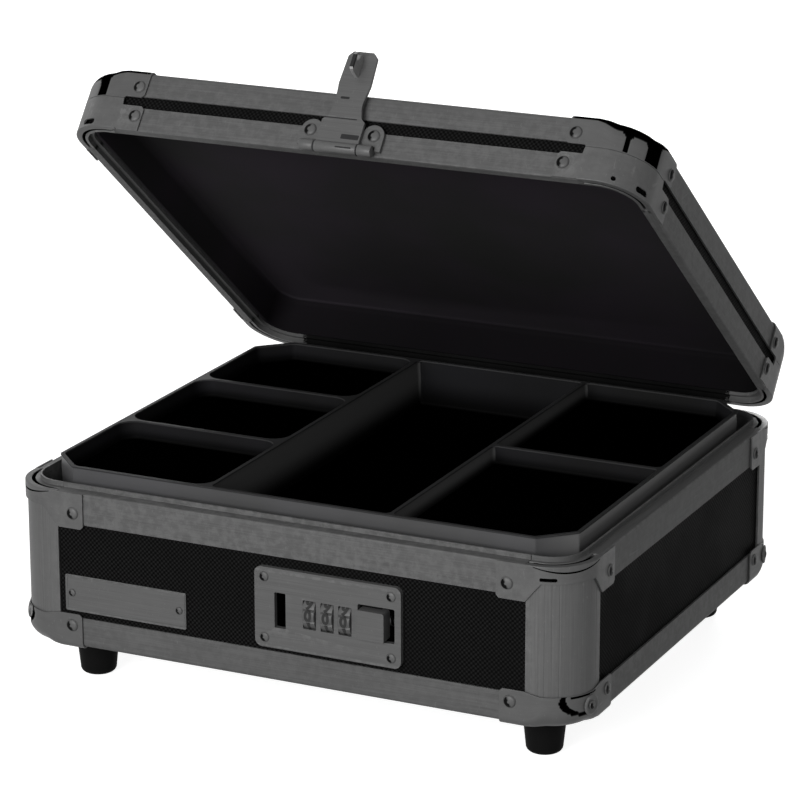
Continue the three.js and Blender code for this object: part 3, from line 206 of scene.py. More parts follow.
def plate(outline, low, high, holes=()):
    """A flat outline with holes, drawn out between two levels: the flats are triangulated
    between the loops, and each loop gets a wall of quads. UV is the flat place."""
    loops = [np.asarray(outline, float)] + [np.asarray(h, float) for h in holes]
    flat = np.concatenate(loops)
    n = len(flat)
    tris = np.array(tessellate_polygon([[Vector((x, y, 0)) for x, y in l] for l in loops]))
    first = np.cumsum([0] + [len(l) for l in loops[:-1]])
    here = np.concatenate([f + np.arange(len(l)) for f, l in zip(first, loops)])
    then = np.concatenate([f + (np.arange(len(l)) + 1) % len(l) for f, l in zip(first, loops)])
    area = np.concatenate([np.full(len(l), signed_area(l)) for l in loops])
    outer = np.arange(n) < len(loops[0])
    swap = (area > 0) != outer
    here, then = np.where(swap, then, here), np.where(swap, here, then)
    edges = flat[tris]
    winding = np.cross(edges[:, 1] - edges[:, 0], edges[:, 2] - edges[:, 0])
    tris = np.where((winding < 0)[:, None], tris[:, ::-1], tris)
    points = np.concatenate([np.c_[flat, np.full(n, low)], np.c_[flat, np.full(n, high)]])
    walls = np.stack([here, then, then + n, here + n], axis=1)
    return shell(points, [walls, tris[:, ::-1], tris + n], np.concatenate([flat, flat]) * MM)


def signed_area(loop):
    """Half the sum of the cross products of neighbouring points, above zero where the loop
    runs counter-clockwise."""
    x, y = np.asarray(loop, float).T
    return 0.5 * np.sum(x * np.roll(y, -1) - np.roll(x, -1) * y)


def upright(made, face, x=0.0, z=0.0):
    """A plate or dome drawn in (x, y) with its height towards Z, stood on a side's face with
    its height pointing out of the case: (x, y, h) goes to (x, face - h, y)."""
    return moved(made, [[1, 0, 0], [0, 0, -1], [0, 1, 0]], (x, face, z))


def on_front(made, face, x=0.0, z=0.0):
    """A flat or dome stood on the case's front face."""
    return at_side(upright(made, face, x, z), "front")


def lengthwise(made, x=0.0, y=0.0, z=0.0):
    """A turned piece whose axis is laid along X: (a, b, h) goes to (h, a, b)."""
    return moved(made, [[0, 0, 1], [1, 0, 0], [0, 1, 0]], (x, y, z))


def arc(centre_x, centre_y, radius, start, end, steps):
    """Points on a circle between two angles in degrees."""
    angle = np.radians(np.linspace(start, end, steps + 1))
    return np.stack([centre_x + radius * np.cos(angle), centre_y + radius * np.sin(angle)], axis=1)


def bisectors(corners):
    """At each corner, unit vectors back and ahead along its edges and inwards along its
    bisector, and half the corner's angle."""
    back = np.roll(corners, 1, axis=0) - corners
    ahead = np.roll(corners, -1, axis=0) - corners
    back /= np.linalg.norm(back, axis=1, keepdims=True)
    ahead /= np.linalg.norm(ahead, axis=1, keepdims=True)
    half = np.arccos(np.clip((back * ahead).sum(axis=1, keepdims=True), -1, 1)) / 2
    middle = back + ahead
    middle /= np.linalg.norm(middle, axis=1, keepdims=True)
    return back, ahead, middle, half


def rounded(corners, radius, steps=6):
    """A polygon whose corners are arcs that touch both edges: the arc's centre lies on the
    corner's bisector at radius / sin(half the corner's angle)."""
    corners = np.asarray(corners, float)
    radius = np.broadcast_to(np.asarray(radius, float), len(corners))[:, None]
    back, ahead, middle, half = bisectors(corners)
    centre = corners + middle * radius / np.sin(half)
    start = corners + back * radius / np.tan(half) - centre
    end = corners + ahead * radius / np.tan(half) - centre
    swing = (np.pi - 2 * half)[..., None]
    t = np.linspace(0, 1, steps + 1)[None, :, None]
    turned = np.sin((1 - t) * swing) * start[:, None] + np.sin(t * swing) * end[:, None]
    return (centre[:, None] + turned / np.sin(swing)).reshape(-1, 2)


def drawn_in(corners, inset):
    """A convex polygon with its edges moved inwards: each corner slides along its bisector by
    inset / sin(half its angle)."""
    corners = np.asarray(corners, float)
    _, _, middle, half = bisectors(corners)
    return corners + middle * inset / np.sin(half)


def box_corners(x0, x1, y0, y1):
    """A rectangle's corners, counter-clockwise."""
    return np.array([[x0, y0], [x1, y0], [x1, y1], [x0, y1]], float)


def rounded_box(x0, x1, y0, y1, radius, steps=6):
    """A rectangle whose corners are arcs."""
    return rounded(box_corners(x0, x1, y0, y1), radius, steps)


def rod(radius, x0, x1, y, z, sides=28, ease=0.3):
    """A rod along X with eased ends."""
    profile = [(radius - ease, 0), (radius - ease * 0.3, ease * 0.3), (radius, ease),
               (radius, x1 - x0 - ease), (radius - ease * 0.3, x1 - x0 - ease * 0.3),
               (radius - ease, x1 - x0)]
    return lengthwise(revolved(profile, sides), x0, y, z)


# Finishes. Shared effects are node groups that give out values, colours and heights.

def group(name, inputs, outputs):
    """An empty shader group with named inputs (kind, default) and outputs (kind)."""
    made = bpy.data.node_groups.new(name, "ShaderNodeTree")
    for label, (kind, default) in inputs.items():
        socket = made.interface.new_socket(label, in_out="INPUT", socket_type="NodeSocket" + kind)
        if default is not None:
            socket.default_value = default
    for label, kind in outputs.items():
        made.interface.new_socket(label, in_out="OUTPUT", socket_type="NodeSocket" + kind)
    return made


class Wiring:
    """Short calls to place nodes in one tree and to link them."""

    def __init__(self, tree):
        self.tree = tree

    def node(self, kind, inputs=None, **settings):
        """A node of a kind, with its settings, and its inputs fed by name."""
        made = self.tree.nodes.new("ShaderNode" + kind)
        for key, value in settings.items():
            setattr(made, key, value)
        for key, value in (inputs or {}).items():
            self.feed(made.inputs[key], value)
        return made

    def feed(self, socket, value):
        """Links a socket to another one, or gives it a plain value."""
        if isinstance(value, bpy.types.NodeSocket):
            self.tree.links.new(value, socket)
        else:
            socket.default_value = value

    def math(self, operation, a, b=0.0, c=0.0):
        """One sum of up to three values."""
        made = self.tree.nodes.new("ShaderNodeMath")
        made.operation = operation
        for socket, value in zip(made.inputs, (a, b, c)):
            self.feed(socket, value)
        return made.outputs[0]

    def vector(self, operation, a, b=(0, 0, 0)):
        """One sum of up to two vectors."""
        made = self.tree.nodes.new("ShaderNodeVectorMath")
        made.operation = operation
        self.feed(made.inputs[0], a)
        self.feed(made.inputs[1], b)
        return made.outputs[0]

    def noise(self, vector, scale, detail=2.0, roughness=0.5):
        """Cloudy values about 0.5, at a scale in clouds per metre."""
        made = self.node("TexNoise", {"Vector": vector, "Scale": scale, "Detail": detail,
                                      "Roughness": roughness})
        return made.outputs["Fac"]

    def span(self, value, low, high, to_low=0.0, to_high=1.0):
        """A smooth step from to_low, up to the value low, to to_high, from the value high."""
        made = self.node("MapRange", {"Value": value, "From Min": low, "From Max": high,
                                      "To Min": to_low, "To Max": to_high},
                         interpolation_type="SMOOTHSTEP")
        return made.outputs["Result"]

    def blend(self, factor, first, second):
        """A colour between two: the first at a factor of 0, the second at 1."""
        made = self.tree.nodes.new("ShaderNodeMix")
        made.data_type = "RGBA"
        self.feed(made.inputs[0], factor)
        self.feed(made.inputs[6], first)
        self.feed(made.inputs[7], second)
        return made.outputs[2]

    def use(self, tree, **inputs):
        """A shared effect's outputs. An underscore in an input's name stands for a space."""
        made = self.tree.nodes.new("ShaderNodeGroup")
        made.node_tree = tree
        for key, value in inputs.items():
            self.feed(made.inputs[key.replace("_", " ")], value)
        return made.outputs

    def bump(self, height, strength, distance):
        made = self.node("Bump", {"Height": height, "Strength": strength, "Distance": distance})
        return made.outputs["Normal"]

    def texture(self, into, height, spread, rough, relief, distance=0.0002):
        """A height's two uses: roughness = rough + spread * height, and the bump."""
        self.feed(into["Roughness"], self.math("MULTIPLY_ADD", height, spread, rough))
        self.feed(into["Normal"], self.bump(height, relief, distance))

    def split(self, vector):
        """A vector's X, Y and Z, by name."""
        return self.node("SeparateXYZ", {"Vector": vector}).outputs

    def uv_place(self):
        """The place on the piece's own UV, in metres or in shares."""
        return self.node("UVMap").outputs["UV"]

    def object_place(self):
        """The place in the piece's own frame, in metres."""
        return self.node("TexCoord").outputs["Object"]

    def mask(self):
        """The piece's own mask attribute, 'shade'."""
        return self.node("Attribute", attribute_name="shade").outputs["Fac"]

    def direct_ray(self):
        """1 for what the camera sees, also in a mirror or through glass."""
        seen = self.node("LightPath").outputs
        bounced = self.math("MAXIMUM", seen["Is Glossy Ray"], seen["Is Transmission Ray"])
        return self.math("MAXIMUM", seen["Is Camera Ray"], bounced)


def ends_of(tree):
    """A group's two ends: what comes in, and the node that its results go to."""
    return tree.nodes.new("NodeGroupInput").outputs, tree.nodes.new("NodeGroupOutput").inputs


def brushed_group():
    """Fine lines along the metal's length: noise on a place that is short across the grain
    and long along it, in two sizes, with a slow cloud over them."""
    tree = group("brushed_lines", {"Place": ("Vector", None), "Along": ("Float", 30.0),
                                   "Across": ("Float", 1500.0), "Cloud Size": ("Float", 40.0)},
                 {"Lines": "Float", "Cloud": "Float"})
    w = Wiring(tree)
    given, out = ends_of(tree)
    split = w.split(given["Place"])
    fine = w.node("CombineXYZ", {"X": w.math("MULTIPLY", split["X"], given["Along"]),
                                 "Y": w.math("MULTIPLY", split["Y"], given["Across"]),
                                 "Z": w.math("MULTIPLY", split["Z"], given["Across"])}).outputs[0]
    wide = w.vector("MULTIPLY", fine, (0.4, 0.33, 0.33))
    lines = w.math("MULTIPLY_ADD", w.noise(fine, 1.0, 2.0), 0.6,
                   w.math("MULTIPLY", w.noise(wide, 1.0, 3.0), 0.4))
    w.feed(out["Lines"], w.span(lines, 0.3, 0.7))
    w.feed(out["Cloud"], w.span(w.noise(given["Place"], given["Cloud Size"], 4.0, 0.6), 0.3, 0.7))
    return tree


def rubbed_group():
    """Where handling has rubbed the finish: convex edges by the mesh's pointiness, broken up
    by noise, and a few short scratches from a stretched, warped noise."""
    tree = group("rubbed_edges", {"Place": ("Vector", None), "Break Up": ("Float", 220.0)},
                 {"Edge": "Float", "Scratch": "Float"})
    w = Wiring(tree)
    given, out = ends_of(tree)
    edge = w.span(w.node("NewGeometry").outputs["Pointiness"], 0.52, 0.6)
    wear_and_shading = w.span(w.noise(given["Place"], given["Break Up"], 4.0, 0.7), 0.4, 0.62)
    w.feed(out["Edge"], w.math("MULTIPLY", edge, wear_and_shading))
    stretched = w.node("Mapping", {"Vector": given["Place"], "Rotation": (0.2, 0.4, 0.7),
                                   "Scale": (900.0, 60.0, 420.0)}).outputs[0]
    w.feed(out["Scratch"], w.span(w.noise(stretched, 1.0, 1.0), 0.70, 0.76))
    return tree


def pebble_group():
    """The panels' small diamond relief. On each flat, of the two in-plane places a and b:
    cos(a) * cos(b), which makes raised diamonds in staggered rows. The flat is the one whose
    normal part is largest. Noise makes the diamonds uneven."""
    tree = group("diamond_relief", {"Place": ("Vector", None), "Facing": ("Vector", None),
                                    "Pitch": ("Float", 0.0025)},
                 {"Height": "Float", "Patch": "Float"})
    w = Wiring(tree)
    given, out = ends_of(tree)
    cloud = w.node("TexNoise", {"Vector": given["Place"], "Scale": 350.0}).outputs["Color"]
    warp = w.vector("SUBTRACT", cloud, (0.5, 0.5, 0.5))
    place = w.vector("ADD", given["Place"], w.vector("MULTIPLY", warp, (0.0006, 0.0006, 0.0006)))
    rate = w.math("DIVIDE", 2 * np.pi, given["Pitch"])
    parts = w.split(place)
    waves = [w.math("COSINE", w.math("MULTIPLY", parts[k], rate)) for k in "XYZ"]
    size = w.split(w.vector("ABSOLUTE", given["Facing"]))
    pick = [w.math("GREATER_THAN", size[k], 0.7) for k in "XYZ"]
    pairs = [w.math("MULTIPLY", waves[1], waves[2]), w.math("MULTIPLY", waves[0], waves[2]),
             w.math("MULTIPLY", waves[0], waves[1])]
    total = w.math("MULTIPLY", pairs[0], pick[0])
    total = w.math("MULTIPLY_ADD", pairs[1], pick[1], total)
    total = w.math("MULTIPLY_ADD", pairs[2], pick[2], total)
    uneven = w.noise(given["Place"], 900.0, 2.0)
    w.feed(out["Height"], w.math("MULTIPLY_ADD", w.span(total, -0.55, 0.85), 0.8,
                                 w.math("MULTIPLY", uneven, 0.3)))
    w.feed(out["Patch"], w.span(w.noise(given["Place"], 18.0, 3.0), 0.35, 0.7))
    return tree


def grain_group():
    """Fine moulded or woven grain: two noises of unlike size, and a slow patchiness."""
    tree = group("fine_grain", {"Place": ("Vector", None), "Grain": ("Float", 1800.0),
                                "Patch Size": ("Float", 14.0)},
                 {"Height": "Float", "Patch": "Float"})
    w = Wiring(tree)
    given, out = ends_of(tree)
    coarse = w.noise(given["Place"], w.math("MULTIPLY", given["Grain"], 0.35), 2.0)
    w.feed(out["Height"], w.math("MULTIPLY_ADD", w.noise(given["Place"], given["Grain"], 2.0),
                                 0.6, w.math("MULTIPLY", coarse, 0.4)))
    w.feed(out["Patch"], w.span(w.noise(given["Place"], given["Patch Size"], 3.0, 0.55), 0.3, 0.7))
    return tree


BRUSHED, RUBBED, PEBBLE, GRAIN = brushed_group(), rubbed_group(), pebble_group(), grain_group()


def finish_of(name, metallic=0.0, specular=0.5, coat=0.0):
    """A material with its Principled shader, and the wiring to feed it."""
    made = bpy.data.materials.new(name)
    made.use_nodes = True
    made.node_tree.nodes.clear()
    w = Wiring(made.node_tree)
    bsdf = w.node("BsdfPrincipled")
    bsdf.inputs["Metallic"].default_value = metallic
    bsdf.inputs["Specular IOR Level"].default_value = specular
    bsdf.inputs["Coat Weight"].default_value = coat
    out = w.node("OutputMaterial")
    w.feed(out.inputs["Surface"], bsdf.outputs[0])
    return made, w, bsdf.inputs


def grey(level, tint=(1.0, 1.0, 1.0)):
    """A grey's colour value, each channel times the tint's."""
    return (level * tint[0], level * tint[1], level * tint[2], 1.0)


def brushed_metal(name, dark, light, rough=0.46, metallic=0.22, across=1500.0, bare=0.2,
                  specular=0.04):
    """Dark satin metal: brushed lines shift its colour and roughness, edges are rubbed bright
    and a few scratches show."""
    made, w, into = finish_of(name, metallic, specular)
    place = w.uv_place()
    world = w.object_place()
    lines = w.use(BRUSHED, Place=place, Across=across)
    rub = w.use(RUBBED, Place=world)
    shade = w.math("MULTIPLY_ADD", lines["Lines"], 0.85, w.math("MULTIPLY", lines["Cloud"], 0.15))
    colour = w.blend(shade, grey(dark), grey(light))
    colour = w.blend(w.math("MULTIPLY", rub["Scratch"], 0.2), colour, grey(bare))
    w.feed(into["Base Color"], w.blend(w.math("MULTIPLY", rub["Edge"], 0.35), colour, grey(bare)))
    w.texture(into, lines["Lines"], 0.12, rough - 0.06, 0.08, 0.0001)
    return made


rail_metal = brushed_metal("brushed_dark_rail", 0.086, 0.117, metallic=0.14, specular=0.015)
post_metal = brushed_metal("brushed_dark_post", 0.102, 0.126, across=1100.0)
lock_metal = brushed_metal("satin_lock_metal", 0.096, 0.122, rough=0.42, across=1900.0)
wheel_metal = brushed_metal("satin_wheel_metal", 0.082, 0.110)
hinge_metal = brushed_metal("satin_hinge_metal", 0.095, 0.125)
# Lighter than the lever, as painted light on the staple's shaded side
staple_lit_metal = brushed_metal("staple_steel_painted_light", 0.24, 0.30)
inner_metal = brushed_metal("plain_inner_steel", 0.15, 0.20, rough=0.4, metallic=0.7, bare=0.35)


def bracket_finish():
    """Pressed steel with a smoother face. Where the mask attribute 'shade' is 1 the metal is
    painted
    black: painted shade in grooves, slots, dishes and a ball's gaps, and a painted dark reflection
    over its roll."""
    made, w, into = finish_of("pressed_corner_metal", 0.22, 0.04)
    place = w.uv_place()
    world = w.object_place()
    lines = w.use(BRUSHED, Place=place, Along=60.0, Across=900.0)
    rub = w.use(RUBBED, Place=world)
    shade = w.math("MULTIPLY_ADD", lines["Lines"], 0.35, w.math("MULTIPLY", lines["Cloud"], 0.65))
    colour = w.blend(shade, grey(0.095), grey(0.119))
    colour = w.blend(w.math("MULTIPLY", rub["Scratch"], 0.25), colour, grey(0.2))
    colour = w.blend(w.math("MULTIPLY", rub["Edge"], 0.4), colour, grey(0.22))
    # Painted shade and painted dark reflection where the mask is 1
    dark = w.span(w.mask(), 0.3, 0.7)
    w.feed(into["Base Color"], w.blend(dark, colour, grey(0.002)))
    w.feed(into["Metallic"], w.math("MULTIPLY_ADD", dark, -0.22, 0.22))
    w.texture(into, lines["Lines"], 0.1, 0.38, 0.05, 0.0001)
    return made


bracket_metal = bracket_finish()


def rivet_finish(name, start, end, near, far):
    """Domed heads with painted shade round their foot and a dark crescent of painted shade. A
    head's UV holds how far round it and how far up its dome a place lies, both from 0 to 1: the
    crescent is where the first is between start and end, and the second between near and far."""
    made, w, into = finish_of(name, 0.2, 0.04)
    world = w.object_place()
    place = w.split(w.uv_place())
    grain = w.use(GRAIN, Place=world, Grain=2500.0)
    middle, half = (start + end) / 2, (end - start) / 2
    off = w.math("ABSOLUTE", w.math("SUBTRACT", place["X"], middle))
    round_it = w.span(off, half - 0.06, half + 0.04, 1.0, 0.0)
    up_it = w.math("MULTIPLY", w.span(place["Y"], near - 0.05, near + 0.05),
                   w.span(place["Y"], far - 0.06, far + 0.06, 1.0, 0.0))
    colour = w.blend(grain["Patch"], grey(0.096), grey(0.119))
    # Painted shade: darker round the foot of the dome, where it meets the plate
    colour = w.blend(w.span(place["Y"], 0.10, 0.22, 1.0, 0.0), colour, grey(0.045))
    # Painted shade: a near-black crescent on one side of the dome
    w.feed(into["Base Color"], w.blend(w.math("MULTIPLY", round_it, up_it), colour, grey(0.002)))
    w.texture(into, grain["Height"], 0.15, 0.36, 0.05, 0.0001)
    return made


base_rivet_metal = rivet_finish("base_rivet_head", 0.32, 0.82, 0.38, 0.9)
lid_rivet_metal = rivet_finish("lid_rivet_head", 0.24, 0.72, 0.3, 0.8)


def panel_finish(name, turn=0.0):
    """Black laminate with a diamond relief whose raised parts are painted lighter, as painted
    highlights, a little sheen, and dull patches. turn lays the pattern's frame on the open lid."""
    made, w, into = finish_of(name, 0.0, 0.005)
    turned = [w.node("Mapping", {"Vector": source, "Rotation": (turn, 0.0, 0.0)}).outputs[0]
              for source in (w.object_place(), w.node("NewGeometry").outputs["True Normal"])]
    relief = w.use(PEBBLE, Place=turned[0], Facing=turned[1])
    # Painted highlight: the raised diamonds lighter, the hollows near black
    colour = w.blend(relief["Height"], grey(0.0008), grey(0.0155))
    dull = w.math("MULTIPLY", relief["Patch"], 0.3)
    w.feed(into["Base Color"], w.blend(dull, colour, grey(0.005)))
    w.feed(into["Roughness"], w.math("MULTIPLY_ADD", relief["Patch"], 0.14, 0.46))
    w.feed(into["Normal"], w.bump(relief["Height"], 0.55, 0.00035))
    return made


panel_black = panel_finish("black_diamond_laminate")
lid_black = panel_finish("black_diamond_laminate_lid", float(OPEN))


def soft_black(name, low, high, rough, specular, grain, relief, tint=(1.0, 1.0, 1.0),
               rubbed=None):
    """Moulded plastic or rubber: fine grain over slow patches of two dark tones. Where the
    mask attribute 'shade' is 1 the surface is painted the lighter grey given as rubbed, as a
    painted highlight."""
    made, w, into = finish_of(name, 0.0, specular)
    world = w.object_place()
    texture = w.use(GRAIN, Place=world, Grain=grain)
    colour = w.blend(texture["Patch"], grey(low), grey(high, tint))
    # Painted highlight where the mask is 1
    if rubbed:
        colour = w.blend(w.mask(), colour, grey(rubbed))
    w.feed(into["Base Color"], colour)
    w.texture(into, texture["Height"], 0.16, rough - 0.08, relief)
    return made


def lining_finish():
    """Dull lining in two dark tones, with painted shade: darker low down, towards the hinge, and
    lighter towards its left. The mask attribute 'shade' is 1 on its rear wall, which gets more
    painted shade, and below 0 on its left wall and the ceiling beside it, which are painted
    lighter, as painted light."""
    made, w, into = finish_of("lid_lining_black", 0.0, 0.02)
    world = w.object_place()
    place = w.split(world)
    texture = w.use(GRAIN, Place=world, Grain=1400.0, Patch_Size=9.0)
    # Painted shade on the rear wall and painted light on the left, from the mask
    wear_and_shading = w.math("MULTIPLY_ADD", w.mask(), -0.62, 1.0)
    # Painted shade low down towards the hinge, painted light towards the left
    painted_light = w.math("MULTIPLY", w.span(place["Z"], 0.08, 0.27, 0.5, 1.25),
                   w.span(place["X"], -0.16, -0.04, 1.45, 1.0))
    painted_light = w.math("MULTIPLY", painted_light, wear_and_shading)
    cloth = w.blend(texture["Patch"], grey(0.021), grey(0.0265, (1.06, 0.9, 1.12)))
    w.feed(into["Base Color"], w.blend(painted_light, grey(0.0), cloth))
    w.texture(into, texture["Height"], 0.16, 0.62, 0.2)
    return made


def cup_finish():
    """The tray's moulded plastic on its inside, painted much darker than outside as shade. The UV's
    second number is how far down a cup's wall a place lies, from 0 to 1, and the wall turns fully
    black towards its foot, as painted shade. Walls in the mask attribute 'shade' are painted a
    lighter grey, as painted light."""
    made, w, into = finish_of("tray_inner_black", 0.0, 0.03)
    world = w.object_place()
    texture = w.use(GRAIN, Place=world, Grain=2200.0)
    down = w.split(w.uv_place())["Y"]
    colour = w.blend(texture["Patch"], grey(0.0075), grey(0.0105, (1.0, 1.0, 1.12)))
    # Painted light on the walls in the mask
    colour = w.blend(w.mask(), colour, grey(0.075))
    # Painted shade: fully black towards the wall's foot
    w.feed(into["Base Color"], w.blend(w.span(down, 0.35, 0.95), colour, grey(0.0002)))
    w.texture(into, texture["Height"], 0.16, 0.5, 0.1)
    return made


lining_black, cup_wall_black = lining_finish(), cup_finish()
COOL = (1.0, 1.0, 1.04)
# The tray's outside grey; its right-hand wall is painted lighter, as a painted highlight
wall_grey = soft_black("tray_outer_grey", 0.056, 0.067, 0.42, 0.14, 2200.0, 0.06, COOL, rubbed=0.12)
# Darker than the tray's outside, as painted shade on its rim; also the dark of painted shade on the
# hasp
rim_black = soft_black("tray_rim_black", 0.027, 0.036, 0.5, 0.02, 2200.0, 0.1, COOL)
# Near black, as painted shade: the cups' floors and the brackets' masked faces
cup_black = soft_black("tray_cup_black", 0.0001, 0.0003, 0.9, 0.0, 1500.0, 0.05)
rubber_black = soft_black("foot_rubber", 0.005, 0.008, 0.6, 0.02, 1300.0, 0.2)
# Flat black of painted shade: on the rear rails' inner edges, the lock's case and the button's
# carrier
painted_shade_black = soft_black("rear_rail_black", 0.004, 0.007, 0.6, 0.01, 1500.0, 0.1)
digit_black = soft_black("wheel_digit_paint", 0.004, 0.007, 0.5, 0.3, 1800.0, 0.12)


# Pieces

def added(name, data):
    """A new object in the scene that shows the data."""
    thing = bpy.data.objects.new(name, data)
    bpy.context.scene.collection.objects.link(thing)
    return thing


def as_shown(thing):
    """The mesh that an object shows, with its modifiers or its curve worked out, and its
    points, corner list and counts."""
    depsgraph = bpy.context.evaluated_depsgraph_get()
    mesh = bpy.data.meshes.new_from_object(thing.evaluated_get(depsgraph))
    points = np.empty(len(mesh.vertices) * 3)
    mesh.vertices.foreach_get("co", points)
    corners = np.empty(len(mesh.loops), np.int32)
    mesh.loops.foreach_get("vertex_index", corners)
    counts = np.empty(len(mesh.polygons), np.int32)
    mesh.polygons.foreach_get("loop_total", counts)
    return mesh, points.reshape(-1, 3), corners.astype(np.int64), counts.astype(np.int64)


def piece(name, body, made, finish, nodes=(), sharp=34, bevel=0.0, segments=2,
          finishes=None, shade=None):
    """Puts a shell into a mesh. finishes picks a material for each face, and shade is the
    mask's value at each point."""
    points, corners, counts, uv = made
    mesh = bpy.data.meshes.new(name)
    mesh.vertices.add(len(points))
    mesh.vertices.foreach_set("co", (points * MM).astype(np.float32).ravel())
    mesh.loops.add(len(corners))
    mesh.loops.foreach_set("vertex_index", corners.astype(np.int32))
    mesh.polygons.add(len(counts))
    mesh.polygons.foreach_set("loop_start", (np.cumsum(counts) - counts).astype(np.int32))
    layer = mesh.uv_layers.new(name="place")
    layer.data.foreach_set("uv", uv.astype(np.float32).ravel())
    for material in finish if isinstance(finish, (list, tuple)) else (finish,):
        mesh.materials.append(material)
    if finishes is not None:
        mesh.polygons.foreach_set("material_index", finishes.astype(np.int32))
    if shade is not None:
        mask = mesh.attributes.new("shade", "FLOAT", "POINT")
        mask.data.foreach_set("value", shade.astype(np.float32))
    mesh.update(calc_edges=True)
    mesh.validate()
    mesh.polygons.foreach_set("use_smooth", np.ones(len(mesh.polygons), bool))
    mesh.set_sharp_from_angle(angle=np.radians(sharp))
    thing = added(name, mesh)
    if bevel:
        eased = thing.modifiers.new("eased_edges", "BEVEL")
        eased.width, eased.segments = bevel * MM, segments
        eased.limit_method, eased.angle_limit = "ANGLE", np.radians(sharp)
        eased.harden_normals = True
    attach(thing, body)
    if nodes:
        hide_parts(*nodes)
    return thing


def cut_away(made, cutters):
    """The shell less the cutters, worked out by an exact boolean and read back as a shell."""

    def holder(label, source):
        """A bare object that holds a shell."""
        points, corners, counts, uv = source
        mesh = bpy.data.meshes.new(label)
        starts = np.cumsum(counts) - counts
        mesh.from_pydata((points * MM).tolist(), [],
                         [corners[s:s + n].tolist() for s, n in zip(starts, counts)])
        mesh.uv_layers.new(name="place").data.foreach_set("uv", uv.astype(np.float32).ravel())
        return added(label, mesh)

    things = [holder("being_cut", made)] + [holder("cutter", c) for c in cutters]
    for cutter in things[1:]:
        cut = things[0].modifiers.new("cut", "BOOLEAN")
        cut.operation, cut.solver, cut.object = "DIFFERENCE", "EXACT", cutter
    mesh, points, corners, counts = as_shown(things[0])
    uv = np.empty(len(mesh.loops) * 2)
    mesh.uv_layers[0].data.foreach_get("uv", uv)
    for thing in things:
        bpy.data.objects.remove(thing)
    return points / MM, corners, counts, uv.reshape(-1, 2)


# Rails. GRAIN_STEP gives each side of the case its own stretch of the brushed grain.
GRAIN_STEP = 410.0


def rail(section, length, start):
    """A straight rail whose ends stop at the corner posts."""
    half = length / 2 - LEG - SEAT
    path = np.array([[-half, 0, 0, 1], [half, 0, 0, 1]], float)
    return swept(path, section, start)


def frame_of_rails(name, body, section, prefix, is_lid=False, black=()):
    """Four rails round the case, one piece. On the rear one the section's edges whose numbers
    are in black are painted black, as painted shade under the hinge and the open lid."""
    runs, marks = [], []
    for i, side in enumerate(SIDES):
        length = WIDTH if i % 2 == 0 else DEPTH
        made = at_side(rail(np.asarray(section, float), length, GRAIN_STEP * i), side)
        runs.append(opened(made) if is_lid else made)
        # Painted shade on the rear rail's edges listed in black
        marks.append(np.isin(np.arange(len(made[2])), black) & (side == "rear"))
    piece(name, body, joined(*runs), [rail_metal, painted_shade_black],
          [f"{prefix}_{side}" for side in SIDES], bevel=0.15, finishes=np.concatenate(marks))


EASE, BEND, FLANGE, STEP = 0.9, 2.5, 16, 5.5
BASE_TOP_RAIL, BASE_LOW_RAIL, LID_LOW_RAIL, LID_TOP_RAIL = 17.3, 16.3, 13.3, 14
base_top_section = np.vstack([
    [[RAIL, RIM - BASE_TOP_RAIL], [RAIL, RIM - RAIL], [TONGUE, RIM - RAIL], [TONGUE, RIM - 10],
     [FRAME_DEPTH, RIM - 10], [FRAME_DEPTH, RIM + TONGUE_RISE], [TONGUE, RIM + TONGUE_RISE],
     [TONGUE, RIM]],
    arc(EASE, RIM - EASE, EASE, 90, 180, 5), [[0, RIM - BASE_TOP_RAIL]]])
base_bottom_section = np.vstack([
    [[RAIL, BOTTOM + RAIL], [FLANGE, BOTTOM + RAIL], [FLANGE, BOTTOM]],
    arc(BEND, BOTTOM + BEND, BEND, 270, 180, 8),
    [[0, BOTTOM + BASE_LOW_RAIL], [RAIL, BOTTOM + BASE_LOW_RAIL]]])
lid_lower_section = np.vstack([
    [[RAIL, LID + LID_LOW_RAIL], [RAIL, LID + RAIL], [4.3, LID + RAIL], [4.3, SHELF + RAIL],
     [TONGUE, SHELF + RAIL], [TONGUE, LID + 10], [FRAME_DEPTH, LID + 10], [FRAME_DEPTH, SHELF],
     [STEP, SHELF], [STEP, LID]],
    arc(EASE, LID + EASE, EASE, 270, 180, 5), [[0, LID + LID_LOW_RAIL]]])
lid_top_section = np.vstack([
    [[RAIL, LID_TOP - LID_TOP_RAIL], [RAIL, LID_TOP - RAIL], [FLANGE, LID_TOP - RAIL],
     [FLANGE, LID_TOP]],
    arc(BEND, LID_TOP - BEND, BEND, 90, 180, 8), [[0, LID_TOP - LID_TOP_RAIL]]])

frame_of_rails("base_top_rails", "base", base_top_section, "base_top_rail", black=range(3, 13))
frame_of_rails("base_bottom_rails", "base", base_bottom_section, "base_bottom_rail")
frame_of_rails("lid_lower_rails", "lid", lid_lower_section, "lid_lower_rail", is_lid=True,
               black=range(5, 15))
frame_of_rails("lid_upper_rails", "lid", lid_top_section, "lid_top_rail", is_lid=True)


# Corner posts

FLUTES = (2.5, 15, 58, 67, 76, 84)
FLUTE_DEPTH, FLUTE_HALF = 0.16, 0.45


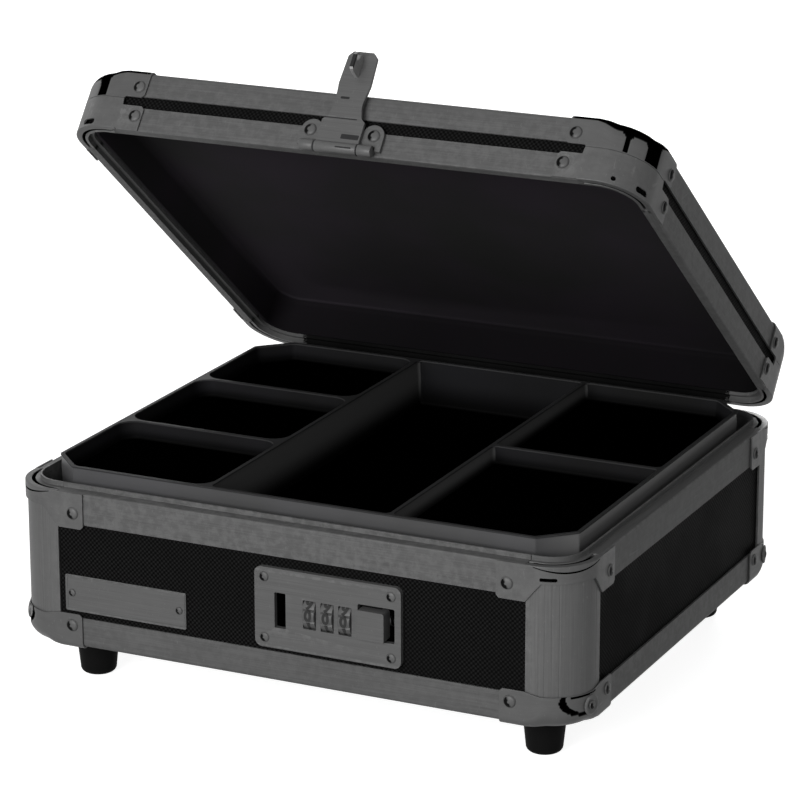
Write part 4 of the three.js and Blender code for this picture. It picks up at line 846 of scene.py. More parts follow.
def corner_post():
    """A quarter round drawn out upwards. Its outer radius falls by a small V at each flute:
    the corner's radius less the flute's depth times (1 less the distance to the flute over
    half the flute's width)."""
    angle = np.linspace(0, 90, 181)
    away = np.abs(angle[:, None] - np.array(FLUTES)) * np.pi / 180 * CORNER
    dip = (FLUTE_DEPTH * np.clip(1 - away / FLUTE_HALF, 0, 1)).max(axis=1)
    turn = np.radians(angle)
    outer = np.stack([CORNER - (CORNER - dip) * np.sin(turn),
                      CORNER - (CORNER - dip) * np.cos(turn)], axis=1)
    web, inner = LEG - 3.4, FRAME_DEPTH - RAIL
    inside = arc(CORNER, CORNER, CORNER - FRAME_DEPTH, 270, 180, 12)
    outline = np.vstack([[[LEG, 0], [LEG, RAIL], [web, RAIL], [web, inner], [LEG, inner],
                          [LEG, FRAME_DEPTH]], inside,
                         [[FRAME_DEPTH, LEG], [inner, LEG], [inner, web], [RAIL, web],
                          [RAIL, LEG], [0, LEG]], outer[::-1]])
    low = BOTTOM - SKIN + 9
    points, corners, counts, uv = stacked([outline, outline], [low, RIM - SKIN - SEAT])
    return points, corners, counts, uv[:, ::-1]


post = corner_post()
piece("corner_posts", "base", joined(*[at_corner(post, c) for c in CORNERS]), post_metal,
      [f"corner_post_{c}" for c in CORNERS], sharp=24, bevel=0.12)


# Corner brackets. A roll's radius grows from ROLL on the leaves to BALL round the corner, over
# ROLL_RUN along the face. LIP is the radius at a bracket's own bent edges, LEAF_CUT the corner
# cut off a leaf's end, and EARED the reach at which the wall of a lid's bracket steps.
ROLL, BALL, ROLL_RUN, BALL_FLANGE, LIP = 3.65, 9, 12, 15.0, 0.45
LEAF_CUT, EARED = 1.6, 31
# A base bracket's edge slopes over EDGE_RUN past a leaf's root. The dish in its ball is an oval.
EDGE_RUN = 8.3
DISH_X, DISH_Z, DISH_HEIGHT, DISH_DEPTH, DISH_EDGE = 15, 8.5, 12.0, 0.45, 0.12


def corner_path(reaches, steps=ARC_STEPS):
    """Stations round a case corner as rows of x, y, inward normal x, y, reach and bend: down
    one leg, round the quarter arc and out along the other leg. A leg's station is a distance
    from the virtual corner; bend grows from 0 at the arc's ends to 1 in its middle."""
    legs = np.array([[r, 0, 0, 1, r, 0] for r in reaches], float).reshape(-1, 6)
    i = np.arange(steps + 1)
    turn = i / steps * np.pi / 2
    arc_rows = np.stack([CORNER * (1 - np.sin(turn)), CORNER * (1 - np.cos(turn)), np.sin(turn),
                         np.cos(turn), np.full(steps + 1, CORNER),
                         np.minimum(i, steps - i) / (steps / 2)], axis=1)
    return np.vstack([legs, arc_rows, legs[::-1][:, [1, 0, 3, 2, 4, 5]]])


def wall(path, low, high, levels=2):
    """A sheet that hugs the frame's outer faces between two heights at each station."""
    t = np.linspace(0, 1, levels)
    face = low[:, None] + (high - low)[:, None] * t
    section = np.concatenate([
        np.stack([np.full_like(face, INNER), face], axis=-1),
        np.stack([np.full_like(face, OUTER), face], axis=-1)[:, ::-1]], axis=1)
    return swept(path[:, :4], section)


def leaf_end(path, leaf):
    """How far a leaf's edge is stepped in at its end, as a cut corner."""
    return np.where(path[:, 4] > leaf - LEAF_CUT / 2, LEAF_CUT, 0.0)


def on_arc(made, degrees):
    """Turns a piece drawn at the front leg's face, at x = 24, round the corner's arc."""
    t = -np.radians(degrees)
    turn = np.array([[np.cos(t), -np.sin(t), 0], [np.sin(t), np.cos(t), 0], [0, 0, 1]])
    centre = np.array([CORNER, CORNER, 0])
    return moved(made, turn, centre - turn @ centre)


def slot_cutter(width, height, degrees, z):
    """A round-ended bar that passes through a bracket's wall on its arc."""
    radius = height / 2 - 0.02
    outline = rounded_box(-width / 2, width / 2, -height / 2, height / 2, radius, 6)
    return on_arc(upright(plate(outline, -3.0, 3.0), 0.0, CORNER, z), degrees)


DOME = [(3.5, -0.5), (3.5, 0.05), (3.25, 0.12), (3.2, 0.35), (3.1, 0.62), (2.85, 0.88),
        (2.4, 1.1), (1.8, 1.26), (1.1, 1.36), (0.35, 1.4)]


def head(radius=3.2, height=1.4, sides=28):
    """A domed rivet head with a thin collar at its foot."""
    return revolved(np.array(DOME) * (radius / 3.2, height / 1.4), sides)


def leg_heads(reach, z):
    """One head on each leg of a bracket, facing out of the case."""
    first = upright(head(), OUTER, reach, z)
    swap = np.array([[0, -1, 0], [1, 0, 0], [0, 0, 1]])
    return [first, moved(upright(head(), OUTER, 0, z), swap.T, (0, reach, 0))]


def half_run(path):
    """How far a station lies past the nearer leaf's root, measured along the outer face."""
    run = run_of(path[:, :2])
    return np.minimum(run, run[-1] - run) - (path[0, 4] - LEG)


def turned_by(path):
    """Each station's angle round the corner in degrees: 0 on the leg along X, 90 on the other."""
    return np.degrees(np.arctan2(path[:, 2], path[:, 3]))


def base_top_bracket():
    """The base's upper corner: a wall cut through for a slot, a rim with a groove round the arc
    painted black inside as shade, and two black ribbons of painted shade, one under the rim's
    edge and one behind the slot. Past the leaves the wall's lower edge rises with the arc."""
    leaf = 44
    path = corner_path([leaf, leaf - LEAF_CUT, LEG, 26.2])
    past = half_run(path)
    drop = 10.3 * np.clip(past / EDGE_RUN, 0, 1)
    low = RIM - 19.5 + np.where(path[:, 4] >= LEG, leaf_end(path, leaf), drop)
    high = np.where(path[:, 4] >= LEG, RIM, RIM - LIP)
    side_wall = cut_away(wall(path, low, high), [slot_cutter(9.0, 1.9, 72, RIM - 6.9)])
    rim = np.vstack([[[OUTER + LIP, RIM - SKIN], [FRAME_DEPTH, RIM - SKIN],
                      [FRAME_DEPTH, RIM + TONGUE_RISE], [7.0, RIM + TONGUE_RISE], [7.0, RIM],
                      [4.4, RIM], [4.2, RIM - 0.6], [2.4, RIM - 0.6], [2.2, RIM]],
                     arc(OUTER + LIP, RIM - LIP, LIP, 90, 180, 4)])
    rim_path = corner_path([LEG])
    grooved = np.zeros((len(rim_path), len(rim)))
    # Painted shade: the groove's inside is black
    grooved[1:-1, 6:8] = 1
    # Black ribbons of painted shade, under the rim's edge and behind the slot
    line, shares = crease(lambda t: RIM - 0.7 - 2.6 * t, 0.2, 0.46)
    behind, more = crease(lambda t: RIM - 6.9 + 0 * t, 1.3, 1.3, -0.02, 0.03)
    masks = np.concatenate([np.zeros(len(side_wall[0])), grooved.ravel(), shares, more])
    return joined(side_wall, swept(rim_path[:, :4], rim), line, behind), masks


def crease(level, thin, thick, face=OUTER, deep=0.3):
    """A black ribbon of painted shade round a corner's arc, 0.04 mm proud of a face. Its height is
    level(t), and its half width goes from thin to thick, with t = sin(pi * share of the arc)."""
    path = corner_path([])[:, :4]
    t = np.sin(np.linspace(0, np.pi, len(path)))
    half = (thin + (thick - thin) * t)[:, None]
    middle = level(t)[:, None]
    depth = np.broadcast_to([face + deep, face - 0.04, face - 0.04, face + deep], (len(path), 4))
    made = swept(path, np.stack([depth, middle + half * np.array([-1, -1, 1, 1])], axis=-1))
    return made, np.ones(len(made[0]))


def ball_section(path, edge, side, face, levels=14, tuck=0.0):
    """A wall whose far edge rolls over into a flange. The roll's radius grows from a tight
    one on the leaves to the corner's ball, as 3t^2 - 2t^3 of the way past the leaf's root.
    side is -1 under the base, 1 over the lid, and tuck keeps a roll that many millimetres
    inside. Returns the section, and how far round the roll its points lie."""
    t = np.clip(half_run(path) / ROLL_RUN, 0, 1)
    radius = (ROLL + (BALL - ROLL) * t * t * (3 - 2 * t))[:, None]
    turn = np.linspace(0, np.pi / 2, 13)[None]

    def roll(r, t):
        return np.stack([OUTER + tuck + radius - r * np.cos(t),
                         face - side * (tuck + radius - r * np.sin(t))], axis=-1)

    def point(depth, height):
        return np.stack([depth * one, height * one], axis=-1)

    t = np.linspace(0, 1, levels)[None, 1:-1]
    start = face - side * radius
    flat = edge[:, None] + (start - edge[:, None]) * t
    outer = np.stack([np.full_like(flat, OUTER), flat], axis=-1)
    one = np.ones((len(path), 1))
    section = np.concatenate([
        point(INNER, edge[:, None]), point(OUTER, edge[:, None]), outer, roll(radius, turn),
        point(BALL_FLANGE, face), point(BALL_FLANGE, face - side * SKIN),
        roll(radius - SKIN, turn[:, ::-1])], axis=1)
    rolled = np.concatenate([np.zeros(2 + outer.shape[1]), np.linspace(0, 1, 13), [1, 1],
                             np.linspace(1, 0, 13)])
    return section, rolled


def base_bottom_bracket(odd):
    """A ball under a base corner, with a dish pressed into it near one leaf. The dish's depth
    falls off in a short step at a distance of 1 from its middle, measured in ovals of DISH_X
    by DISH_Z, and a black crescent of painted shade lies inside its rim on the side away from
    that leaf. A black line of painted shade runs just under the wall's upper edge over the dish."""
    leaf = 42
    path = corner_path([leaf, leaf - LEAF_CUT, LEG], 60)
    drop = 1.8 * np.clip(half_run(path) / EDGE_RUN, 0, 1)
    edge = BOTTOM + 18.3 - np.where(path[:, 4] >= LEG, leaf_end(path, leaf), drop)
    section, _ = ball_section(path, edge, -1, BOTTOM - SEAT - SKIN, 22)
    run = run_of(path[:, :2])
    middle = run[3] + np.radians(24 if odd else 66) * CORNER
    across = (run - middle)[:, None] / DISH_X * (1 if odd else -1) + 0 * section[..., 1]
    upwards = (section[..., 1] - DISH_HEIGHT) / DISH_Z
    far = np.hypot(across, upwards)
    outside = section[..., 0] < section[..., :1, 0] - 0.3
    section[..., 0] += DISH_DEPTH * np.clip((1 - far) / DISH_EDGE, 0, 1) * outside
    # Painted shade: a crescent inside the dish's rim, and a line under the wall's upper edge
    thick = np.clip(0.75 * across - 0.5 * upwards, 0, 1)
    crescent = outside * (far < 0.97) * (far > 0.97 - 0.5 * thick) * (thick > 0.3)
    below = np.abs(section[..., 1] - edge[:, None] + 0.8) < 0.45
    return swept(path[:, :4], section), \
        np.maximum(crescent, outside * below * (np.abs(across) < 0.55)).ravel()


def boss(degrees, z):
    """A small raised ring with its rivet, on a corner's arc."""
    ring = revolved([(5.2, -0.6), (5.2, 0.1), (4.9, 0.45), (4.5, 0.6), (4.0, 0.45), (3.5, 0.2),
                     (0.2, 0.2)], 28)
    rivet = upright(head(2.2, 1.1, 24), OUTER - 0.2, CORNER, z)
    return on_arc(upright(ring, OUTER, CORNER, z), degrees), on_arc(rivet, degrees)


def lid_lower_bracket():
    """The lid's lower corner: a wall up to the seam, cut through for a slot and a hole, and a
    rim whose face has a groove round the arc, painted black inside as shade."""
    leaf = 44.5
    path = corner_path([leaf, leaf - LEAF_CUT, 31.6, EARED, LEG])
    high = np.where(path[:, 4] <= EARED, LID + 17.8, LID + 13.9 - leaf_end(path, leaf))
    low = np.where(path[:, 4] <= EARED, LID + LIP, LID)
    outer_wall = cut_away(wall(path, low, high), [
        slot_cutter(8.6, 3.2, 25, LID + 3.2), slot_cutter(2.6, 2.6, 64, LID + 3.4)])
    t = SKIN
    rim = np.vstack([[[OUTER + LIP, LID + t], [STEP - t, LID + t], [STEP - t, SHELF + t],
                      [FRAME_DEPTH - t, SHELF + t], [FRAME_DEPTH - t, LID + 10],
                      [FRAME_DEPTH, LID + 10], [FRAME_DEPTH, SHELF], [STEP, SHELF], [STEP, LID],
                      [3.9, LID], [3.7, LID + 0.6], [2.3, LID + 0.6], [2.1, LID]],
                     arc(OUTER + LIP, LID + LIP, LIP, 270, 180, 4)])
    rim_path = corner_path([EARED])
    grooved = np.zeros((len(rim_path), len(rim)))
    # Painted shade: the groove's inside is black
    grooved[1:-1, 10:12] = 1
    return joined(outer_wall, swept(rim_path[:, :4], rim)), \
        np.concatenate([np.zeros(len(outer_wall[0])), grooved.ravel()])


def lid_upper_bracket(odd):
    """The ball over a lid corner, pressed in three petals. Between them and above each
    petal's top, but for the roll's last part, the metal is painted black, as painted shade in the
    gaps and a painted dark reflection over the roll, and lies 0.3 mm deeper. A leaf's petal sinks
    by 0.3 of the way past its root, and within its last seven degrees by 3 * (1 - cos) of a quarter
    round."""
    leaf = 42.5
    path = corner_path([leaf, leaf - LEAF_CUT, 31.6, EARED, LEG], 90)
    edge = np.where(path[:, 4] <= EARED, LID + 18.05, LID + 19 + leaf_end(path, leaf))
    section, rolled = ball_section(path, edge, 1, LID_TOP + SEAT + SKIN, 26, 0.05)
    degrees = turned_by(path)[:, None]
    level = section[..., 1]
    middle_end = 56.5
    starts = np.array([-90.0, 33.5 if odd else 25.0, 62.0])
    ends = np.array([11.0, middle_end, 180.0])
    inside = np.minimum(degrees[..., None] - starts, ends - degrees[..., None])
    past = half_run(path)[:, None, None]
    tops = np.where(ends == middle_end, 112.4, 117.0 - 0.3 * np.maximum(past, 0))
    top = tops - 3 * (1 - np.sqrt(1 - np.clip(1 - inside / 7, 0, 1) ** 2))
    petal = ((inside > 0) & (level[..., None] < top)).any(axis=-1)
    # Painted shade in the gaps between petals and a painted dark reflection over the roll
    black = (~petal) & (path[:, 4] <= 41)[:, None] & (level > LID + 18.6) & (rolled < 0.85)
    outside = section[..., 0] < section[..., :1, 0] - 0.3
    section[..., 0] += 0.3 * black * outside * (rolled == 0) * (path[:, 4] <= CORNER)[:, None]
    return swept(path[:, :4], section), black.astype(float).ravel()


def brackets(name, body, made, prefix):
    """A bracket on each corner. made is (shell, black mask) of one, or a pair of these for
    corners of an even and an odd turn."""
    pairs = made if isinstance(made, list) else [made, made]
    shells, masks = zip(*[pairs[CORNERS[c][0] % 2] for c in CORNERS])
    placed = [at_corner(s, c) for s, c in zip(shells, CORNERS)]
    if body == "lid":
        placed = [opened(s) for s in placed]
    made, shade = joined(*placed), np.concatenate(masks)
    # A face whose corners are all in the mask gets the flat black of painted shade
    full = np.minimum.reduceat(shade[made[1]], np.cumsum(made[2]) - made[2]) > 0.99
    piece(name, body, made, [bracket_metal, cup_black],
          [f"{prefix}_{c}" for c in CORNERS], sharp=38, bevel=0.2, shade=shade, finishes=full)


brackets("base_top_brackets", "base", base_top_bracket(), "base_top_bracket")
brackets("base_bottom_brackets", "base", [base_bottom_bracket(False), base_bottom_bracket(True)],
         "base_bottom_bracket")
brackets("lid_lower_brackets", "lid", lid_lower_bracket(), "lid_lower_bracket")
brackets("lid_upper_brackets", "lid", [lid_upper_bracket(False), lid_upper_bracket(True)],
         "lid_upper_bracket")

base_heads, lid_heads, bosses = [], [], []
for c in CORNERS:
    base_heads += [at_corner(h, c) for h in leg_heads(38, RIM - 11) + leg_heads(36, BOTTOM + 12)]
    lid_heads += [opened(at_corner(h, c))
                  for h in leg_heads(40.5, LID + 8) + leg_heads(38, LID_TOP - 9.2)]
    ring, small_head = boss(14 if CORNERS[c][0] % 2 == 1 else 76, BOTTOM + 9.5)
    bosses.append(at_corner(ring, c))
    base_heads.append(at_corner(small_head, c))
boss_rings = joined(*bosses)
piece("corner_bosses", "base", boss_rings, bracket_metal,
      shade=np.zeros(len(boss_rings[0])))


# Feet

def foot():
    """A tapered rubber foot turned about its own axis, with a soft lower edge and a shallow
    ring under it."""
    low = BOTTOM - FOOT_DROP
    foot_r, soft = 9.7, 3.2
    edge = arc(foot_r - soft, low + soft, soft, 0, -90, 8)
    profile = np.vstack([[[11.6, -SEAT], [12.2, -SEAT - 0.6], [11.9, -3.2]], edge,
                         [[4.2, low], [3.9, low + 0.5], [0.3, low + 0.5]]])
    return revolved(profile, 48)


feet = [shifted(foot(), (np.sign(x) * (WIDTH / 2 - 31.4), np.sign(y) * (DEPTH / 2 - 33), 0))
        for _, x, y in CORNERS.values()]
piece("feet", "base", joined(*feet), rubber_black, [f"foot_{c}" for c in CORNERS], sharp=50)


# Lid lining

def lining_rows():
    """A lining that hugs the lid's inside: rounded-corner loops go up the outer wall, over the
    top, and down inside round an 8 mm cove."""

    def ring(inset, radius):
        return rounded_box(-WIDTH / 2 + inset, WIDTH / 2 - inset, -DEPTH / 2 + inset,
                           DEPTH / 2 - inset, radius, 12)

    low, top = 88.7, 111.75
    outer = 8.15
    cove = np.radians(np.linspace(0, 90, 9))
    insets = [outer + 0.6, outer, outer, outer + 0.6]
    heights = [low, low + 0.6, top - 0.6, top]
    inner_insets = [outer + 2 + 4 * (1 - np.cos(a)) for a in cove][::-1] + [outer + 2, outer + 1.4]
    inner_heights = [top - 2 - 4 * (1 - np.sin(a)) for a in cove][::-1] + [low + 0.6, low]
    insets += [40.0, 40.0] + inner_insets
    heights += [top, top - 2] + inner_heights
    return levelled([ring(i, max(1.0, CORNER - i) if i < 30 else 4.0) for i in insets], heights)


def lid_lining():
    """The outer skin is capped above and the inner one below the top board, and the two meet
    in one strip round the mouth. The mask is 1 on the rear wall below the ceiling, and -2.2
    times the way from 133 to 141 mm left of the middle."""
    rows = lining_rows()
    count, size = rows.shape[:2]
    split = 5
    a = (np.arange(count)[:, None] * size + np.arange(size))
    b = np.roll(a, -1, axis=1)
    pairs = [(i, (i + 1) % count) for i in range(count) if i != split - 1]
    quads = np.concatenate([np.stack([a[i], b[i], b[j], a[j]], axis=1) for i, j in pairs])
    caps = [a[split - 1][None], a[split][::-1][None]]
    x, y, z = rows.reshape(-1, 3).T
    # The mask places painted shade on the rear wall and painted light on the left
    rear = np.clip((109.75 - z) / 1.2, 0, 1) * np.clip((y - 100) / 20, 0, 1)
    left = np.clip((-x - 133) / 8, 0, 1)
    return outward(shell(rows.reshape(-1, 3), [quads] + caps, upward_uv(rows).reshape(-1, 2))), \
        rear - 2.2 * left * (1 - rear)


lining_shell, lining_mask = lid_lining()
piece("lid_lining_skin", "lid", opened(lining_shell), lining_black, ["lid_lining"],
      sharp=40, shade=lining_mask)


# Tray

TRAY_TOP = RIM + 9.2
TRAY_LOW = TRAY_TOP - 28.7
TRAY_X, TRAY_Y, TRAY_CUT = 149.5, 128.0, 17.0
RIM_ROLL, FILLET, LEAN = 0.85, 2, 0.035


def tray_outline(inset):
    """The tray's rectangle with cut corners, at an inset from its rim's outside."""
    x, y, c = TRAY_X, TRAY_Y, TRAY_CUT
    corners = np.array([[x, -y + c], [x, y - c], [x - c, y], [-x + c, y], [-x, y - c],
                        [-x, -y + c], [-x + c, -y], [x - c, -y]])
    return drawn_in(corners, inset)


def cup_corners():
    """Each cup's corners at the rim, its radii, and its floor's depth."""
    x0, x1, y1, e, shallow, deep = 53.0, 147.5, 126.0, 15.83, 10.2, 26.4
    right = [([[x0, -y1], [x1 - e, -y1], [x1, -y1 + e], [x1, -1], [x0, -1]],
              [3, 2.5, 2.5, 3, 3], shallow),
             ([[x0, 1], [x1, 1], [x1, y1 - e], [x1 - e, y1], [x0, y1]],
              [3, 3, 2.5, 2.5, 3], shallow)]
    left = [([[-x1 + e, -y1], [-x0, -y1], [-x0, -44], [-x1, -44], [-x1, -y1 + e]],
             [5, 10, 10, 10, 5], shallow),
            (box_corners(-x1, -x0, -42, 42), [10, 10, 10, 10], shallow),
            ([[-x1, 44], [-x0, 44], [-x0, y1], [-x1 + e, y1], [-x1, y1 - e]],
             [10, 10, 10, 5, 5], shallow)]
    return right + left + [(box_corners(-51, 51, -y1, y1), [3, 3, 3, 3], deep)]


def tray():
    """The rim is one flat between the outline and the cups' mouths, whose edges roll down.
    Walls lean in by LEAN of the depth, and each floor meets its wall in a small fillet.
    Returns the shell, for each face 0 outside, 1 on the rim, 2 on a cup's wall and 3 on its
    floor, and a mask of the left walls of the middle and right cups and of the right outside,
    which are painted lighter, as painted light."""
    shells, marks, painted_lit = [], [], []
    lip = np.radians(np.linspace(0, 90, 5))[::-1]
    rim = list(zip(RIM_ROLL * (1 - np.sin(lip)), TRAY_TOP - RIM_ROLL * (1 - np.cos(lip))))

    def add(made, mark, lit_mask=None):
        shells.append(made)
        marks.append(np.broadcast_to(mark, len(made[2])))
        painted_lit.append(np.zeros(len(made[0]), bool) if lit_mask is None else lit_mask)

    def flat(loop, height):
        count = len(loop)
        made = shell(np.c_[loop, np.full(count, height)], [np.arange(count)[None]], loop * MM)
        add(made, 3 if height > TRAY_LOW else 0)

    def strip(loops, heights, mark, lit_mask):
        loops, heights = np.asarray(loops), np.asarray(heights)
        down = (heights[0] - heights) / (heights[0] - heights[-1])
        uv = np.stack(np.broadcast_arrays(run_of(loops[0])[None] * MM, down[:, None]), axis=-1)
        ring = np.repeat(np.arange(len(heights) - 1), loops.shape[1])
        add(skin(levelled(loops, heights), uv, caps=False), mark(ring), lit_mask(loops).ravel())

    # Painted light: the left walls of the middle and right cups are painted lighter
    def cup_scuff(loops):
        x = loops[..., 0]
        return (x < x.min(axis=1, keepdims=True) + 1) & (x[0].min() > -53)

    levels = rim + [((TRAY_TOP - z) * LEAN, z) for z in (TRAY_TOP - 6, TRAY_LOW)]
    outline = [rounded(tray_outline(i), 2.0, 4) for i, _ in levels]
    # Painted highlight: the right outside wall, past x = 141, is painted lighter
    strip(outline, [z for _, z in levels], lambda ring: (ring < 2).astype(int),
          lambda loops: loops[..., 0] > 141)
    mouths = []
    for corners, radii, deep in cup_corners():
        floor = TRAY_TOP - deep
        fillet = np.radians(np.linspace(0, 90, 6))[1:]
        levels = [(-i, z) for i, z in rim]
        levels += [((TRAY_TOP - floor - FILLET) * LEAN * t,
                    TRAY_TOP - RIM_ROLL - (deep - FILLET - RIM_ROLL) * t) for t in (0.35, 0.7, 1.0)]
        levels += [((deep - FILLET) * LEAN + FILLET * (1 - np.cos(a)),
                    floor + FILLET * (1 - np.sin(a))) for a in fillet]
        loops = [rounded(drawn_in(corners, i), np.maximum(0.8, np.array(radii) - max(i, 0)))
                 for i, _ in levels]
        strip(loops, [z for _, z in levels],
              lambda ring: 1 + (ring >= 4).astype(int) + (ring >= 10), cup_scuff)
        mouths.append(loops[0])
        flat(loops[-1], floor)
    points, corners, counts, _ = plate(outline[0], TRAY_TOP - 1, TRAY_TOP, mouths)
    starts = np.cumsum(counts) - counts
    upper = starts[(counts == 3) & (corners[starts] >= len(points) // 2)]
    add(shell(points, [corners[upper[:, None] + np.arange(3)]], points[:, :2] * MM), 1)
    flat(outline[-1], TRAY_LOW)
    return joined(*shells), np.concatenate(marks), np.concatenate(painted_lit)


# Outside grey; the rim, the cups' walls and their floors are painted darker, as shade
tray_shell, tray_marks, tray_lit_walls = tray()
tray_piece = piece("moulded_tray", "tray", tray_shell,
                   [wall_grey, rim_black, cup_wall_black, cup_black], ["tray"],
                   sharp=40, finishes=tray_marks, shade=tray_lit_walls)


def welded(thing):
    """Merges the strips' shared rings and turns the whole skin outwards."""
    work = bmesh.new()
    work.from_mesh(thing.data)
    bmesh.ops.remove_doubles(work, verts=work.verts, dist=0.00002)
    loose = [v for v in work.verts if not v.link_faces]
    bmesh.ops.delete(work, geom=loose, context="VERTS")
    bmesh.ops.recalc_face_normals(work, faces=work.faces)
    work.to_mesh(thing.data)
    work.free()
    thing.data.set_sharp_from_angle(angle=np.radians(40))


welded(tray_piece)


# Nameplate, left bare, with a thin raised border

NAME_X, NAME_Z = -94.4, 28.2


def nameplate():
    """A flat plate, and a thin frame that stands 0.2 mm proud of it."""
    body = plate(rounded_box(-36, 36, -10, 10, 0.9, 5), 0, 0.8)
    border = plate(rounded_box(-35.4, 35.4, -9.4, 9.4, 0.6, 5), 0.7, 1.0,
                   [rounded_box(-34.6, 34.6, -8.6, 8.6, 0.5, 5)])
    return joined(*[on_front(m, RAIL, NAME_X, NAME_Z) for m in (body, border)])


piece("bare_nameplate", "base", nameplate(), lock_metal, ["nameplate"], bevel=0.15)
base_heads += [on_front(head(1.9, 0.7, 22), 0.2, NAME_X + s * 32, NAME_Z) for s in (-1, 1)]


# Lock plate, wheels and button, drawn in the front side's frame

LOCK_X, LOCK_Z, PLATE_BACK, PLATE_FACE = 24.7, 39.3, 1.2, -1.8
WHEEL_XS = (14.6, 24.7, 34.8)
WHEEL_Z, WHEEL_R, WHEEL_Y = 38.6, 10.0, 6.0
FACES, NOTCH_DEPTH, NOTCH_HALF, FACE_SINK = 10, 0.75, 4.5, 0.12
FIGURE_SIZE, FIGURE_WEIGHT, FIGURE_PROUD = 7.8, 0.38, 0.04


def lock_plate():
    """A plate with sloped edges, cut through for the staple, the wheels and the button."""

    def window(x0, x1, z0, z1, radius):
        return rounded_box(x0 - LOCK_X, x1 - LOCK_X, z0 - LOCK_Z, z1 - LOCK_Z, radius, 4)

    holes = [window(-5.4, 1.0, 28.9, 48.1, 0.6), window(42, 62.7, 30.7, 49.2, 0.8)]
    holes += [window(x - 3.7, x + 3.7, 30.85, 46.35, 0.5) for x in WHEEL_XS]
    outline = rounded_box(-41.5, 41.5, -21.75, 21.75, 3.8, 8)
    return on_front(plate(outline, 0, 3.0, holes), PLATE_BACK, LOCK_X, LOCK_Z)


piece("lock_face_plate", "base", lock_plate(), lock_metal, ["lock_plate"],
      bevel=0.8, segments=3)
base_heads += [on_front(head(2.5, 0.9, 26), PLATE_FACE, LOCK_X + sx * 36, LOCK_Z + sz * 16.5)
               for sx in (-1, 1) for sz in (-1, 1)]
piece("base_rivet_heads", "base", joined(*base_heads), base_rivet_metal, sharp=60)


def wheel_outline():
    """Ten faces between thumb notches. Away from a face's middle the radius sinks by
    FACE_SINK times half of 1 - cos, and it dips in a narrow V between two faces."""
    angle = np.linspace(0, 360, 240, endpoint=False)
    half = 180 / FACES
    away = np.abs((angle + half) % (2 * half) - half)
    notch = NOTCH_DEPTH * np.clip(1 - (half - away) / NOTCH_HALF, 0, 1)
    radius = WHEEL_R - notch - FACE_SINK * (1 - np.cos(np.radians(away * 10))) / 2
    turn = np.radians(angle + 108)
    return np.stack([radius * np.cos(turn), radius * np.sin(turn)], axis=1)


def wheel():
    """The outline drawn out along the wheel's axis, with eased rims."""
    outline = wheel_outline()
    inset = [0.5, 0.12, 0, 0, 0.12, 0.5]
    across = np.array([-3.45, -3.3, -3.0, 3.0, 3.3, 3.45])
    rows = levelled([outline * (1 - i / WHEEL_R) for i in inset], across)
    return outward(skin(rows, grid_uv(run_of(outline)[None], across[:, None])))


def figure(n):
    """The figure n as a thin flat shell, centred on its place."""
    curve = bpy.data.curves.new("figure", "FONT")
    curve.body, curve.size, curve.align_x, curve.align_y = str(n), FIGURE_SIZE, "CENTER", "CENTER"
    curve.extrude, curve.offset = FIGURE_PROUD, FIGURE_WEIGHT
    drawn = added("figure", curve)
    _, points, corners, counts = as_shown(drawn)
    bpy.data.objects.remove(drawn)
    return points, corners, counts, points[corners, :2] * MM


def digit_marks(x):
    """Ten painted figures, one on each face, laid on the wheel as thin flats."""
    found = []
    for n in range(FACES):
        t = np.radians(360.0 / FACES * n)
        c, s = np.cos(t), np.sin(t)
        found.append(moved(upright(figure(n), -WHEEL_R), [[1, 0, 0], [0, c, -s], [0, s, c]],
                           (x, WHEEL_Y, WHEEL_Z)))
    return joined(*found)


for name, x in zip(("left", "middle", "right"), WHEEL_XS):
    # A face, not a notch, points straight out of the plate
    turned = lengthwise(wheel(), x, WHEEL_Y, WHEEL_Z)
    piece(f"wheel_{name}", f"dial_{name}", at_side(turned, "front"), wheel_metal,
          [f"dial_wheel_{name}"], sharp=30)
    piece(f"wheel_figures_{name}", f"dial_{name}", at_side(digit_marks(x), "front"), digit_black,
          sharp=60)


def button():
    """A square button with soft edges, on its carrier plate behind the face plate, painted black
    as shade in the window's gap.
    """
    half_x, half_z, proud, thick = 7.8, 7.9, 2.9, 1.5
    x, z = 42.3 + half_x, 39.1
    back = 2 * thick
    body = plate(rounded_box(-half_x, half_x, -half_z, half_z, 1.4), 0, back - (PLATE_FACE - proud))
    carrier = plate(rounded_box(36.0 - x, 54.0 - x, -9.3, 9.3, 1.0, 4), 0, thick)
    return [on_front(part, back, x, z) for part in (body, carrier)]


button_parts = button()
piece("release_button", "release", joined(*button_parts), [lock_metal, painted_shade_black],
      ["release_slide"], bevel=0.8, segments=4,
      finishes=np.repeat([0, 1], [len(p[2]) for p in button_parts]))


# Hasp, on the lid's front rail

HASP_X, HASP_Z, HASP_DEPTH = -0.8, LID + 1.2, -3.9
HASP_FACE, BARREL = -2.25, 3.0


def on_hasp(made, z=0.0):
    """From the hasp's own frame, drawn at the closed lid's front, to the open lid."""
    return opened(shifted(at_side(made, "front"), (HASP_X, 0, z)))


